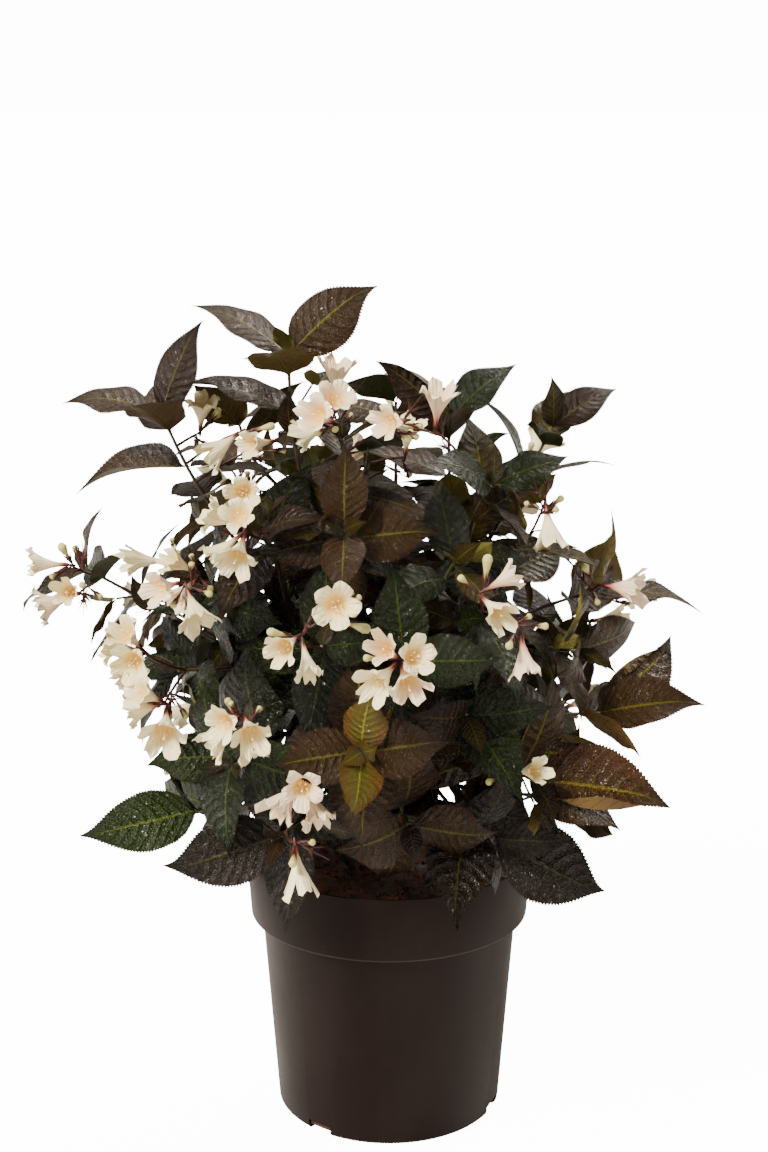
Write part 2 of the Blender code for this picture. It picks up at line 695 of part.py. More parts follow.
def spots_on_twigs(twigs, place):
    """Spots along a mass's stems, the nearest to a place first."""
    spots = []
    for points, _, owner in twigs:
        total = path_lengths(points)[-1]
        for i in range(9):
            spot, _ = point_at(points, total * (0.12 + 0.8 * i / 8.0))
            spots.append(((spot - place).length, spot, owner))
    spots.sort(key=lambda item: item[0])
    return spots


def rule_blooms(mass, twigs, rng):
    """Clusters for a mass that names none: one or two off each shoot, facing outwards."""
    blooms = []
    for points, item, _ in twigs:
        for i in range(RULE_CLUSTERS):
            total = path_lengths(points)[-1]
            spot, along = point_at(points, total * rng.uniform(0.55, 0.95))
            out = (spot - CROWN_MIDDLE).normalized()
            side = Matrix.Rotation(rng.uniform(-1.0, 1.0), 3, along) @ out
            place = spot + (side * 0.7 + out * 0.5).normalized() * RULE_REACH
            facing = (out * 0.8 + side * 0.5 + UP * rng.uniform(-0.3, 0.4)).normalized()
            blooms.append({"place": place, "facing": facing, "count": rng.choice((1, 2, 2, 3))})
    return blooms


def hang_stalk(item, twigs, space, rng):
    """Find a clear straight stalk from a stem to the hub of a cluster."""
    for attempt in range(STALK_TRIES):
        shift = Vector((rng.uniform(-1, 1), rng.uniform(-1, 1), rng.uniform(-1, 1)))
        hub = item["place"] - item["facing"] * HUB_BACK
        hub = hub + shift * STALK_SHIFT * attempt
        gap, root, owner = spots_on_twigs(twigs, hub)[attempt % STALK_ROOTS]
        if gap < STALK_LEAST:
            continue
        end = hub + item["facing"] * STALK_SUNK
        radii = [PEDUNCLE_RADIUS + LIMB_MARGIN] * 2
        solid = tube([root.lerp(end, 0.2), end], radii, TWIG_SIDES)
        fits = space.clear(solid, ignore=(owner,))
        solid.free()
        if fits:
            return [root, end], hub
    return None, None


def grow_flowers(twigs, space):
    """Hang each cluster on a stalk from the nearest stem, clear of all else."""
    stalks, flowers = {}, {}
    for mass in twigs:
        rng = random.Random("flowers " + mass)
        stalks[mass], flowers[mass] = [], []
        blooms = MASSES[mass].get("blooms")
        if blooms is None:
            blooms = rule_blooms(mass, twigs[mass], rng)
        for number, item in enumerate(blooms):
            label = f"{mass}_stalk_{number}"
            stalk, hub = hang_stalk(item, twigs[mass], space, rng)
            if not stalk:
                print("no room for", label)
                continue
            open_flowers = 0
            for way in spread_ways(item["facing"], item["count"], rng):
                flower = {"root": hub, "way": way, "turn": rng.uniform(0.0, 1.2),
                          "size": rng.uniform(*FLOWER_SIZES)}
                solid = flower_solid(flower, FLOWER_MARGIN)
                if space.clear(solid, ignore=(f"{label}_flowers",)):
                    flowers[mass].append(flower)
                    space.add(solid, f"{label}_flowers")
                    open_flowers += 1
                solid.free()
            if open_flowers:
                stalks[mass].append(stalk)
                add_twig(space, stalk, PEDUNCLE_RADIUS, PEDUNCLE_RADIUS, label)
    return stalks, flowers


def pair_frame(along, roll):
    """The way that a pair's first leaf stands out from the stem, turned by roll degrees."""
    level = along.cross(UP)
    if level.length < 0.15:
        level = Vector((0.0, 1.0, 0.0))
        level -= along * level.dot(along)
    return Matrix.Rotation(math.radians(roll), 3, along) @ level.normalized()


def make_leaf(root, along, face, length, rng, aimed):
    """The measures of one leaf; an aimed leaf stands higher, so that its tip sags into line."""
    face = (face - along * face.dot(along)).normalized()
    leaf = {"root": root + along * 0.0001, "along": along, "face": face,
            "length": length, "width": length * LEAF_WIDTH * rng.uniform(0.9, 1.06),
            "sag": rng.uniform(*LEAF_SAGS), "fold": rng.uniform(*LEAF_FOLDS)}
    if aimed:
        sag = leaf["sag"] * AIMED_SAG
        forward = 1.0 - LEAF_CURL * sag * sag
        lift = math.atan2(sag, forward)
        leaf["along"] = along * math.cos(lift) + face * math.sin(lift)
        leaf["face"] = face * math.cos(lift) - along * math.sin(lift)
        leaf["length"] = length / math.hypot(sag, forward)
        leaf["sag"] = sag
    return leaf


def try_leaf(root, along, face, length, rng, space, owner, node, aimed=False):
    """Place a leaf, turning and shortening it until it is clear, or give it up."""
    for attempt in range(LEAF_TRIES):
        turn = Vector((rng.uniform(-1, 1), rng.uniform(-1, 1), rng.uniform(-1, 1)))
        way = (along + turn * LEAF_WOBBLE * attempt).normalized()
        leaf = make_leaf(root, way, face, length * (1.0 - LEAF_SHRINK * attempt), rng, aimed)
        solid = leaf_solid(leaf, LEAF_MARGIN)
        fits = space.clear(solid, ignore=(owner,))
        if fits:
            space.add(solid, node)
        solid.free()
        if fits:
            return leaf
    return None


def reach_leaves(twigs, space):
    """The leaves that draw the crown's outline, each from its shoot to a stated tip."""
    found = {}
    for mass, shoots in twigs.items():
        found[mass] = []
        rng = random.Random("reach " + mass)
        for points, item, owner in shoots:
            total = path_lengths(points)[-1]
            for place, turn in item["reach"]:
                spots = [point_at(points, total - REACH_STEP * (i + 0.67))[0]
                         for i in range(REACH_STEPS)]
                root = min(spots, key=lambda spot: abs((place - spot).length - item["leaf"]))
                way = (place - root).normalized()
                outward = (place - CROWN_MIDDLE).normalized()
                face = UP * 0.9 + outward * 0.35
                face = Matrix.Rotation(math.radians(turn), 3, way) @ face
                length = (place - root).length * 1.01
                leaf = try_leaf(root, way, face, length, rng, space, owner, mass + "_leaf",
                                aimed=True)
                if leaf:
                    found[mass].append(leaf)
                else:
                    print("no room for a reaching leaf of", mass)
    return found


def grow_leaves(twigs, leaves, space):
    """Opposite pairs down each shoot, each pair turned a quarter from the last."""
    missed = 0
    for rank, pair_size in enumerate(PAIR_SIZES):
        for mass, shoots in twigs.items():
            rng = random.Random(f"leaves {mass} {rank}")
            for points, item, owner in shoots:
                total = path_lengths(points)[-1]
                back = TIP_MARGIN + FIRST_INTERNODE * min(rank, 1)
                back += INTERNODE * max(rank - 1, 0)
                if rank >= item["pairs"] or back > total - FOOT_MARGIN:
                    continue
                root, along = point_at(points, total - back)
                side = pair_frame(along, item["roll"] + 90.0 * rank + rng.uniform(-9, 9))
                opening = item["spread"] + PAIR_OPENING * rank
                opening = math.radians(min(opening, WIDEST_OPENING))
                for number, sign in enumerate((1.0, -1.0)):
                    out = side * sign
                    way = along * math.cos(opening) + out * math.sin(opening)
                    face = along * math.sin(opening) - out * math.cos(opening)
                    light = UP * 0.75 + (root - CROWN_MIDDLE).normalized() * 0.4
                    if rank:
                        face = face + light * (0.35 + 0.3 * min(rank, 2))
                        turn = rng.uniform(-28.0, 28.0)
                    else:
                        turn = item["twist"][number] + rng.uniform(-8.0, 8.0)
                    face = Matrix.Rotation(math.radians(turn), 3, way) @ face
                    length = item["leaf"] * pair_size * rng.uniform(0.93, 1.06)
                    leaf = try_leaf(root, way, face, length, rng, space, owner,
                                    mass + "_leaf")
                    if leaf:
                        leaves[mass].append(leaf)
                    else:
                        missed += 1
    print("leaves skipped:", missed)
    return leaves


def limb_object(name, points, radii, collection, material):
    """A bare limb as a round curve that tapers and is closed at both ends."""
    curve = bpy.data.curves.new(name, "CURVE")
    curve.dimensions = "3D"
    curve.bevel_depth = radii[0]
    curve.bevel_resolution = 1
    curve.use_fill_caps = True
    spline = curve.splines.new("POLY")
    spline.points.add(len(points) - 1)
    for spot, point, radius in zip(spline.points, points, radii):
        spot.co = (*point, 1.0)
        spot.radius = radius / radii[0]
    curve.materials.append(material)
    thing = bpy.data.objects.new(name, curve)
    collection.objects.link(thing)
    return thing


def main_body(mesh):
    """Keep a mesh's largest outer shell: sealed hollows are filled, loose scraps dropped."""
    bm = bmesh.new()
    bm.from_mesh(mesh)
    bm.faces.ensure_lookup_table()
    seen, shells = set(), []
    for face in bm.faces:
        if face.index in seen:
            continue
        shell, queue = [], [face]
        seen.add(face.index)
        while queue:
            item = queue.pop()
            shell.append(item)
            for edge in item.edges:
                for other in edge.link_faces:
                    if other.index not in seen:
                        seen.add(other.index)
                        queue.append(other)
        volume = sum(item.calc_area() * item.normal.dot(item.calc_center_median())
                     for item in shell) / 3.0
        shells.append((volume, shell))
    shells.sort(key=lambda pair: pair[0], reverse=True)
    spare = [face for _, shell in shells[1:] for face in shell]
    if spare:
        bmesh.ops.delete(bm, geom=spare, context="FACES")
    bmesh.ops.triangulate(bm, faces=bm.faces)
    bm.to_mesh(mesh)
    bm.free()
    return len(shells) - 1


def welded(mesh):
    """Weld the mesh's nearest points, and say whether every edge then has two faces."""
    bm = bmesh.new()
    bm.from_mesh(mesh)
    bmesh.ops.remove_doubles(bm, verts=bm.verts, dist=WELD_DISTANCE)
    bmesh.ops.dissolve_degenerate(bm, edges=bm.edges, dist=WELD_DISTANCE)
    bmesh.ops.triangulate(bm, faces=bm.faces)
    closed = all(len(edge.link_faces) == 2 for edge in bm.edges)
    if closed:
        bm.to_mesh(mesh)
    bm.free()
    return closed


def union_mesh(mass, pieces, solver):
    """The mesh of a mass with its collection of pieces united to it."""
    union = mass.modifiers.new("fuse", "BOOLEAN")
    union.operation = "UNION"
    union.operand_type = "COLLECTION"
    union.collection = pieces
    union.solver = solver
    bpy.context.view_layer.update()
    depsgraph = bpy.context.evaluated_depsgraph_get()
    mesh = bpy.data.meshes.new_from_object(mass.evaluated_get(depsgraph))
    mass.modifiers.remove(union)
    return mesh


def fill_pieces(name, shoots, stalks, flowers, leaves, stoutness, material):
    """A collection with the side stems, stalks, flowers and leaves of one mass."""
    pieces = new_collection(name + "_pieces")
    for points, _, owner in shoots[1:]:
        radii = tapered(STEM_RADIUS * stoutness, SHOOT_TIP_RADIUS, len(points))
        mesh_object(owner, tube(points, radii, TWIG_SIDES), pieces, material)
    for points in stalks:
        radii = [PEDUNCLE_RADIUS * stoutness] * 2
        mesh_object("stalk", tube(points, radii, TWIG_SIDES), pieces, material)
    for flower in flowers:
        mesh_object("flower", flower_solid(flower), pieces, material)
    for leaf in leaves:
        swell = (stoutness - 1.0) * LEAF_THICKNESS * leaf["length"]
        mesh_object("leaf", leaf_solid(leaf, swell), pieces, material)
    return pieces


def fused_mass(name, shoots, stalks, flowers, leaves, collection, material):
    """Join a mass's stems, stalks, flowers and leaves to its main stem by one union.

    Where a union doesn't come out closed, it is made again with stems a little stouter,
    and at the end with fewer leaves.
    """
    kept = list(leaves)
    attempt = 0
    closed = False
    while not closed:
        stoutness = 1.0 + STOUTER_STEP * min(attempt, STOUTER_TRIES)
        if attempt > STOUTER_TRIES:
            kept.pop()
        radii = tapered(STEM_RADIUS * stoutness, SHOOT_TIP_RADIUS, TWIG_POINTS)
        stem = tube(shoots[0][0], radii, TWIG_SIDES)
        mass = mesh_object(name, stem, collection, material)
        pieces = fill_pieces(name, shoots, stalks, flowers, kept, stoutness, material)
        for solver in ("EXACT", "MANIFOLD"):
            mesh = union_mesh(mass, pieces, solver)
            spare = main_body(mesh)
            closed = welded(mesh)
            if closed:
                break
        mass.data = mesh
        for item in list(pieces.objects):
            bpy.data.objects.remove(item)
        bpy.data.collections.remove(pieces)
        if not closed:
            bpy.data.objects.remove(mass)
        attempt += 1
    print(name, solver, "tries", attempt, "leaves", len(kept), "flowers", len(flowers),
          "triangles", len(mesh.polygons), "shells dropped", spare)


def build():
    for item in list(bpy.data.objects):
        bpy.data.objects.remove(item)
    plant = new_collection("potted_weigela")
    cutters = new_collection("cutters")
    pot_plastic = new_material("pot_plastic", (0.045, 0.038, 0.035), 0.42)
    soil = new_material("peat", (0.07, 0.035, 0.02), 0.95)
    bark = new_material("bark", (0.12, 0.075, 0.05), 0.8)
    foliage = new_material("dark_foliage", (0.035, 0.03, 0.02), 0.4)
    build_pot(plant, cutters, pot_plastic)
    build_soil(plant, soil)
    build_stem(plant, bark)
    space = Space()
    for name in ("pot", "potting_soil", "stem"):
        bm = bmesh.new()
        bm.from_object(bpy.data.objects[name], bpy.context.evaluated_depsgraph_get())
        space.add(bm, name)
        bm.free()
    bare, stems = grow_limbs(space)
    twigs = grow_side_shoots(stems, space)
    stalks, flowers = grow_flowers(twigs, space)
    leaves = grow_leaves(twigs, reach_leaves(twigs, space), space)
    for name, points in bare.items():
        limb_object(name, points, limb_radii(name), plant, bark)
    for mass in twigs:
        fused_mass(mass, twigs[mass], stalks[mass], flowers[mass], leaves[mass],
                   plant, foliage)


build()
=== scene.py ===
"""A potted weigela in flower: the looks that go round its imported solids.

Metres, +Z up. The sections follow the plant as it is put together: the pot, its filling, the
wood, the leafy shoots, the flowers and the leaves, and last the studio round it.
"""
import math
import random

import bmesh
import bpy
import numpy as np
from mathutils import Matrix, Vector, noise
from mathutils.bvhtree import BVHTree
from mathutils.geometry import interpolate_bezier


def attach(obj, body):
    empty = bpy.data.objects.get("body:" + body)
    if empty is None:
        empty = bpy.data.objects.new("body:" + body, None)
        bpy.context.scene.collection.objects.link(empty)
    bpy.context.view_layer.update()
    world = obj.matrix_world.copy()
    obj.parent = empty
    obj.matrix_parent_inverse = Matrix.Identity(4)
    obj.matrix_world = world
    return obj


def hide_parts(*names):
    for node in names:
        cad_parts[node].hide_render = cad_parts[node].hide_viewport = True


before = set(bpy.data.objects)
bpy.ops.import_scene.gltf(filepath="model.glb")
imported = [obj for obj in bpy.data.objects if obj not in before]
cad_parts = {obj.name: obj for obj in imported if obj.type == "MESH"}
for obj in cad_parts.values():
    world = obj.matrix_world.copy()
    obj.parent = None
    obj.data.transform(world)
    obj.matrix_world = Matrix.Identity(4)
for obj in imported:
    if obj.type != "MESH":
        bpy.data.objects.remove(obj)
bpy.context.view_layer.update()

# The pot is a deep four-litre nursery container, injection moulded in one piece from
# recycled black-brown polypropylene. A wide stepped band stiffens its rim, and notches
# round its foot let the water out.
POT_HEIGHT = 0.189
RIM_RADIUS = 0.100
BAND_FOOT = 0.1436
BAND_FOOT_RADIUS = 0.097
BODY_TOP_RADIUS = 0.0894
FOOT_RADIUS = 0.0788
FOOT_CHAMFER = 0.0022
POT_WALL = 0.0018
POT_FLOOR = 0.0030
POT_STEPS = 120
NOTCH_BEARINGS = (-38.0, 68.0, 142.0, 248.0)
NOTCH_SIZE = (0.012, 0.019, 0.015)
POT_BROWN = (0.0062, 0.0031, 0.0027, 1.0)
# Pale dust colour, which also paints the highlight line along the lower edge of the band
POT_DUST_AND_HIGHLIGHT = (0.036, 0.028, 0.024, 1.0)
POT_SHEEN = (1.0, 0.84, 0.80, 1.0)
POT_EDGE = 0.0006
# Height of a thin painted highlight along the band's lower edge, where the lip would catch the light
HIGHLIGHT_LINE = BAND_FOOT + 0.0004
NOTCH_INSET = 0.003


def spun(profile, steps):
    """Turn a profile of radius and height once round the upright axis."""
    bm = bmesh.new()
    verts = [bm.verts.new((radius, 0.0, height)) for radius, height in profile]
    edges = [bm.edges.new(pair) for pair in zip(verts, verts[1:])]
    bmesh.ops.spin(bm, geom=verts + edges, cent=(0, 0, 0), axis=(0, 0, 1), dvec=(0, 0, 0),
                   angle=math.tau, steps=steps, use_merge=True, use_duplicate=False)
    bmesh.ops.remove_doubles(bm, verts=bm.verts, dist=0.00002)
    bmesh.ops.recalc_face_normals(bm, faces=bm.faces)
    return bm


def mesh_of(bm, name):
    """A mesh made from a bmesh, which is used up."""
    mesh = bpy.data.meshes.new(name)
    bm.to_mesh(mesh)
    bm.free()
    return mesh


def show(name, data):
    """Put an object with its mesh, light or camera into the scene."""
    shown = bpy.data.objects.new(name, data)
    bpy.context.scene.collection.objects.link(shown)
    return shown


def finish_piece(mesh, name, material, replaced, sharp):
    """Make a piece of the plant from a mesh, with smooth faces and sharp edges kept."""
    mesh.polygons.foreach_set("use_smooth", np.ones(len(mesh.polygons), bool))
    mesh.set_sharp_from_angle(angle=math.radians(sharp))
    mesh.materials.append(material)
    piece = show(name, mesh)
    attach(piece, "root")
    if replaced:
        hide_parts(*replaced)
    return piece


def fill(tree, node, values):
    """Link a node's inputs to sockets, or set them to values."""
    for name, value in values.items():
        if isinstance(value, bpy.types.NodeSocket):
            tree.links.new(value, node.inputs[name])
        else:
            node.inputs[name].default_value = value
    return node


def add_node(tree, kind, values=None, **settings):
    """Add a shader node with its settings, and fill its inputs."""
    made = tree.nodes.new(kind)
    for name, value in settings.items():
        setattr(made, name, value)
    return fill(tree, made, values or {})


def calc(tree, operation, *terms, clamp=False):
    """The result of a Math node on numbers or sockets."""
    values = dict(enumerate(terms))
    return add_node(tree, "ShaderNodeMath", values, operation=operation, use_clamp=clamp).outputs[0]


def times(tree, first, second):
    """The product of two numbers or sockets."""
    return calc(tree, "MULTIPLY", first, second)


def ease(tree, value, low, high, to_low=0.0, to_high=1.0):
    """A smooth step of a value between two bounds."""
    values = {"Value": value, "From Min": low, "From Max": high, "To Min": to_low,
              "To Max": to_high}
    return add_node(tree, "ShaderNodeMapRange", values,
                    interpolation_type="SMOOTHSTEP").outputs[0]


def tint(tree, factor, first, second):
    """One colour run into another by a factor."""
    values = {0: factor, 6: first, 7: second}
    return add_node(tree, "ShaderNodeMix", values, data_type="RGBA").outputs[2]


def split(tree, vector):
    """The three parts of a vector."""
    return add_node(tree, "ShaderNodeSeparateXYZ", {0: vector}).outputs


def joined(tree, *parts):
    """A vector from its parts."""
    return add_node(tree, "ShaderNodeCombineXYZ", dict(enumerate(parts))).outputs[0]


def object_place(tree):
    """Where a point lies in its piece's own measures."""
    return add_node(tree, "ShaderNodeTexCoord").outputs["Object"]


def mapped_place(tree):
    """Where a point lies on its piece's map, in parts."""
    return split(tree, add_node(tree, "ShaderNodeUVMap", uv_map="OFBake").outputs[0])


def cloud(tree, place, scale, detail):
    """A soft noise."""
    values = {"Vector": place, "Scale": scale, "Detail": detail}
    return add_node(tree, "ShaderNodeTexNoise", values).outputs["Fac"]


def raised(tree, height, strength, depth):
    """The normal that shows a height as relief."""
    values = {"Strength": strength, "Distance": depth, "Height": height}
    return add_node(tree, "ShaderNodeBump", values).outputs[0]


def new_group(name, inputs, outputs):
    """A shader node group, with the sockets that it is given and its output node."""
    kinds = {0: "Float", 3: "Vector", 4: "Color"}
    tree = bpy.data.node_groups.new(name, "ShaderNodeTree")
    for label, value in inputs.items():
        kind = "NodeSocket" + kinds[len(value) if isinstance(value, tuple) else 0]
        socket = tree.interface.new_socket(label, in_out="INPUT", socket_type=kind)
        socket.default_value = value
    for label in outputs:
        kind = "NodeSocketColor" if label == "Color" else "NodeSocketFloat"
        tree.interface.new_socket(label, in_out="OUTPUT", socket_type=kind)
    return tree, tree.nodes.new("NodeGroupInput").outputs, tree.nodes.new("NodeGroupOutput")


def new_material(name):
    """A new material, its shader tree and its Principled shader."""
    material = bpy.data.materials.new(name)
    material.use_nodes = True
    return material, material.node_tree, material.node_tree.nodes["Principled BSDF"]


# A soft blotch mask and a fine grain on Object coordinates, for all that isn't leaf or petal
mottle, given, made = new_group(
    "mottle", {"Blotch scale": 30.0, "Grain scale": 400.0, "Stretch": (1.0, 1.0, 1.0)},
    ("Blotch", "Grain"))
place = add_node(mottle, "ShaderNodeMapping", {"Vector": object_place(mottle),
                                              "Scale": given["Stretch"]}).outputs[0]
blotch = cloud(mottle, place, given["Blotch scale"], 4.0)
fill(mottle, made, {"Blotch": ease(mottle, blotch, 0.36, 0.66),
                    "Grain": cloud(mottle, place, given["Grain scale"], 3.0)})


def mottled(tree, blotch_scale, grain_scale=400.0, stretch=1.0):
    """The blotch and the grain at their scales, drawn out along the height."""
    values = {"Blotch scale": blotch_scale, "Grain scale": grain_scale,
              "Stretch": (1.0, 1.0, stretch)}
    return add_node(tree, "ShaderNodeGroup", values, node_tree=mottle).outputs


pot_profile = [(0.0, POT_FLOOR),
               (FOOT_RADIUS - POT_WALL, POT_FLOOR),
               (BODY_TOP_RADIUS - POT_WALL, BAND_FOOT + POT_WALL),
               (BAND_FOOT_RADIUS - POT_WALL, BAND_FOOT + POT_WALL),
               (RIM_RADIUS - POT_WALL, POT_HEIGHT),
               (RIM_RADIUS, POT_HEIGHT),
               (BAND_FOOT_RADIUS, BAND_FOOT),
               (BODY_TOP_RADIUS, BAND_FOOT),
               (FOOT_RADIUS, FOOT_CHAMFER),
               (FOOT_RADIUS - FOOT_CHAMFER, 0.0),
               (0.0, 0.0)]
bm = spun(pot_profile, POT_STEPS)
rings = [edge for edge in bm.edges if edge.calc_face_angle(0.0) > math.radians(20.0)]
bmesh.ops.bevel(bm, geom=rings, offset=POT_EDGE, segments=3, profile=0.5, affect="EDGES",
                material=-1, clamp_overlap=True)
pot_plastic, tree, shader = new_material("pot_plastic")
marks = mottled(tree, 22.0, 520.0, 0.55)
specks = add_node(tree, "ShaderNodeTexVoronoi",
                  {"Vector": object_place(tree), "Scale": 95.0}).outputs
rare = add_node(tree, "ShaderNodeSeparateColor", {0: specks["Color"]}).outputs[0]
dust = times(tree, ease(tree, specks["Distance"], 0.03, 0.07, 1.0, 0.0),
             ease(tree, rare, 0.90, 0.93))
dust_and_highlight = calc(tree, "ADD", times(tree, marks["Blotch"], 0.10), times(tree, dust, 0.5), clamp=True)
# A thin pale line at the band's lower edge is painted highlight, mixed in with the real dust and
# blotches
level = split(tree, object_place(tree))[2]
highlight_gap = calc(tree, "ABSOLUTE", calc(tree, "SUBTRACT", level, HIGHLIGHT_LINE))
dust_and_highlight = calc(tree, "MAXIMUM", dust_and_highlight, ease(tree, highlight_gap, 0.0003, 0.0011, 0.9, 0.0))
satin = calc(tree, "MULTIPLY_ADD", marks["Blotch"], 0.07, 0.41)
satin = calc(tree, "ADD", satin, times(tree, dust, 0.3))
fill(tree, shader, {"Base Color": tint(tree, dust_and_highlight, POT_BROWN, POT_DUST_AND_HIGHLIGHT), "Roughness": satin,
                    "Specular IOR Level": 0.11, "Specular Tint": POT_SHEEN,
                    "Normal": raised(tree, marks["Grain"], 0.25, 0.00012)})
pot = finish_piece(mesh_of(bm, "nursery_pot"), "nursery_pot", pot_plastic,
                   ["pot"], 30.0)
bm = bmesh.new()
for bearing in NOTCH_BEARINGS:
    turn = Matrix.Rotation(math.radians(bearing - 90.0), 4, "Z")
    spot = Matrix.Translation((FOOT_RADIUS - NOTCH_INSET, 0.0, 0.0))
    bmesh.ops.create_cube(bm, size=1.0, matrix=turn @ spot @ Matrix.Diagonal((*NOTCH_SIZE, 1.0)))
notches = show("notches", mesh_of(bm, "notches"))
cut = pot.modifiers.new("notches", "BOOLEAN")
cut.operation = "DIFFERENCE"
cut.solver = "EXACT"
cut.object = notches
bpy.context.view_layer.update()
view = bpy.context.evaluated_depsgraph_get()
cut_mesh = bpy.data.meshes.new_from_object(pot.evaluated_get(view))
pot.modifiers.clear()
pot.data = cut_mesh
bpy.data.objects.remove(notches)

# The filling is reddish peat compost, pressed in by hand and watered. It follows the pot's
# inside, its top is crumbly, and loose crumbs and bits of fibre lie on it.
SOIL_TOP = 0.177
SOIL_GAP = 0.0003
SOIL_STEPS = 96
CRUMB_COUNT = 1500
FIBRE_COUNT = 260
PEAT_DARK = (0.014, 0.0048, 0.0027, 1.0)
PEAT_RED = (0.150, 0.036, 0.012, 1.0)
SOIL_RINGS = 34
CRUMBLE_SCALE = 95.0
CRUMBLE_HEIGHT = 0.0024
HUMP_HEIGHT = 0.0032
HUMP_REACH = 0.035


class Heap:
    """Many small shapes gathered from arrays into one mesh, each with its own map."""

    def __init__(self):
        self.points, self.corners, self.starts, self.maps = [], [], [], []
        self.point_count = self.corner_count = 0

    def add(self, shape, matrix=None):
        """Add a shape as it stands, or carried by a 4 by 4 matrix."""
        points, corners, starts, uvs = shape
        if matrix is not None:
            grid = np.array(matrix)
            points = points @ grid[:3, :3].T + grid[:3, 3]
        self.points.append(points)
        self.corners.append(corners + self.point_count)
        self.starts.append(starts + self.corner_count)
        self.maps.append(uvs)
        self.point_count += len(points)
        self.corner_count += len(corners)

    def piece(self, name, material, slot, replaced=(), sharp=80.0, mapped=True):
        """Make one piece of the plant from all the shapes."""
        mesh = bpy.data.meshes.new(name)
        points, corners = np.concatenate(self.points), np.concatenate(self.corners)
        starts, uvs = np.concatenate(self.starts), np.concatenate(self.maps)
        mesh.vertices.add(len(points))
        mesh.vertices.foreach_set("co", points.astype(np.float32).ravel())
        mesh.loops.add(len(corners))
        mesh.loops.foreach_set("vertex_index", corners.astype(np.int32))
        mesh.polygons.add(len(starts))
        mesh.polygons.foreach_set("loop_start", starts.astype(np.int32))
        mesh.update(calc_edges=True)
        if mapped:
            layer = mesh.uv_layers.new(name="OFBake")
            layer.uv.foreach_set("vector", uvs.astype(np.float32).ravel())
        mesh.validate()
        return finish_piece(mesh, name, material, replaced, sharp)


def shape_of(bm):
    """A bmesh as arrays of points, face corners, face starts and map places."""
    bm.verts.index_update()
    layer = bm.loops.layers.uv.active
    points = np.array([vert.co for vert in bm.verts])
    corners, starts, uvs = [], [], []
    for face in bm.faces:
        starts.append(len(corners))
        for loop in face.loops:
            corners.append(loop.vert.index)
            uvs.append(tuple(loop[layer].uv) if layer else (0.5, 0.5))
    bm.free()
    return points, np.array(corners), np.array(starts), np.array(uvs)


def map_faces(bm, uv_at):
    """Give every face corner its place on the map."""
    bm.verts.index_update()
    layer = bm.loops.layers.uv.verify()
    for face in bm.faces:
        for loop in face.loops:
            loop[layer].uv = uv_at(face, loop)


def crumbly(spot):
    """How far the peat's top stands up at a spot: rough all over, with a hump in the middle."""
    rough = noise.fractal(spot * CRUMBLE_SCALE, 0.9, 2.1, 4) * CRUMBLE_HEIGHT
    return rough + HUMP_HEIGHT * math.exp(-(spot.xy.length / HUMP_REACH) ** 2)


inset = POT_WALL + SOIL_GAP
slope = (SOIL_TOP - BAND_FOOT - inset) / (POT_HEIGHT - BAND_FOOT - inset)
soil_edge = BAND_FOOT_RADIUS - inset + (RIM_RADIUS - BAND_FOOT_RADIUS) * slope
peat_profile = [(0.0, POT_FLOOR + SOIL_GAP),
                (FOOT_RADIUS - inset, POT_FLOOR + SOIL_GAP),
                (BODY_TOP_RADIUS - inset, BAND_FOOT + inset),
                (BAND_FOOT_RADIUS - inset, BAND_FOOT + inset)]
peat_profile += [(soil_edge * (1.0 - i / SOIL_RINGS), SOIL_TOP) for i in range(SOIL_RINGS + 1)]
bm = spun(peat_profile, SOIL_STEPS)
for vert in bm.verts:
    if vert.co.z > SOIL_TOP - 0.0001 and vert.co.xy.length < soil_edge - 0.001:
        vert.co.z += crumbly(vert.co) - 0.0006
crumbs = Heap()
crumbs.add(shape_of(bm))
rng = random.Random("crumbs")
lumps = []
for i in range(5):
    bm = bmesh.new()
    bmesh.ops.create_icosphere(bm, subdivisions=1, radius=1.0)
    for vert in bm.verts:
        vert.co *= rng.uniform(0.62, 1.15)
    lumps.append(shape_of(bm))
bm = bmesh.new()
bmesh.ops.create_cone(bm, cap_ends=True, segments=4, radius1=0.05, radius2=0.03, depth=2.0)
fibre = shape_of(bm)
for i in range(CRUMB_COUNT + FIBRE_COUNT):
    far = soil_edge * math.sqrt(rng.random()) * 0.965
    angle = rng.uniform(0.0, math.tau)
    spot = Vector((far * math.cos(angle), far * math.sin(angle), SOIL_TOP))
    spot.z += crumbly(spot) - 0.0004
    if i < CRUMB_COUNT:
        shape = rng.choice(lumps)
        size = Vector((1.0, rng.uniform(0.6, 1.0), rng.uniform(0.4, 0.8)))
        size *= 0.0007 + 0.0021 * rng.random() ** 3
        lie = Matrix.Rotation(rng.uniform(-0.5, 0.5), 4, "X")
    else:
        shape = fibre
        size = Vector((0.0045, 0.0045, rng.uniform(0.002, 0.0065)))
        lie = Matrix.Rotation(rng.uniform(1.2, 1.75), 4, "X")
    way = Matrix.Rotation(rng.uniform(0.0, math.tau), 4, "Z") @ lie
    crumbs.add(shape, Matrix.Translation(spot) @ way @ Matrix.Diagonal((*size, 1.0)))
peat, tree, shader = new_material("peat")
marks = mottled(tree, 110.0, 900.0)
redness = times(tree, marks["Blotch"], marks["Grain"])
fill(tree, shader, {"Base Color": tint(tree, redness, PEAT_DARK, PEAT_RED),
                    "Roughness": calc(tree, "MULTIPLY_ADD", marks["Blotch"], 0.2, 0.72),
                    "Normal": raised(tree, marks["Grain"], 0.8, 0.0006)})
crumbs.piece("peat_filling", peat, "peat", ["potting_soil"], 50.0, mapped=False)

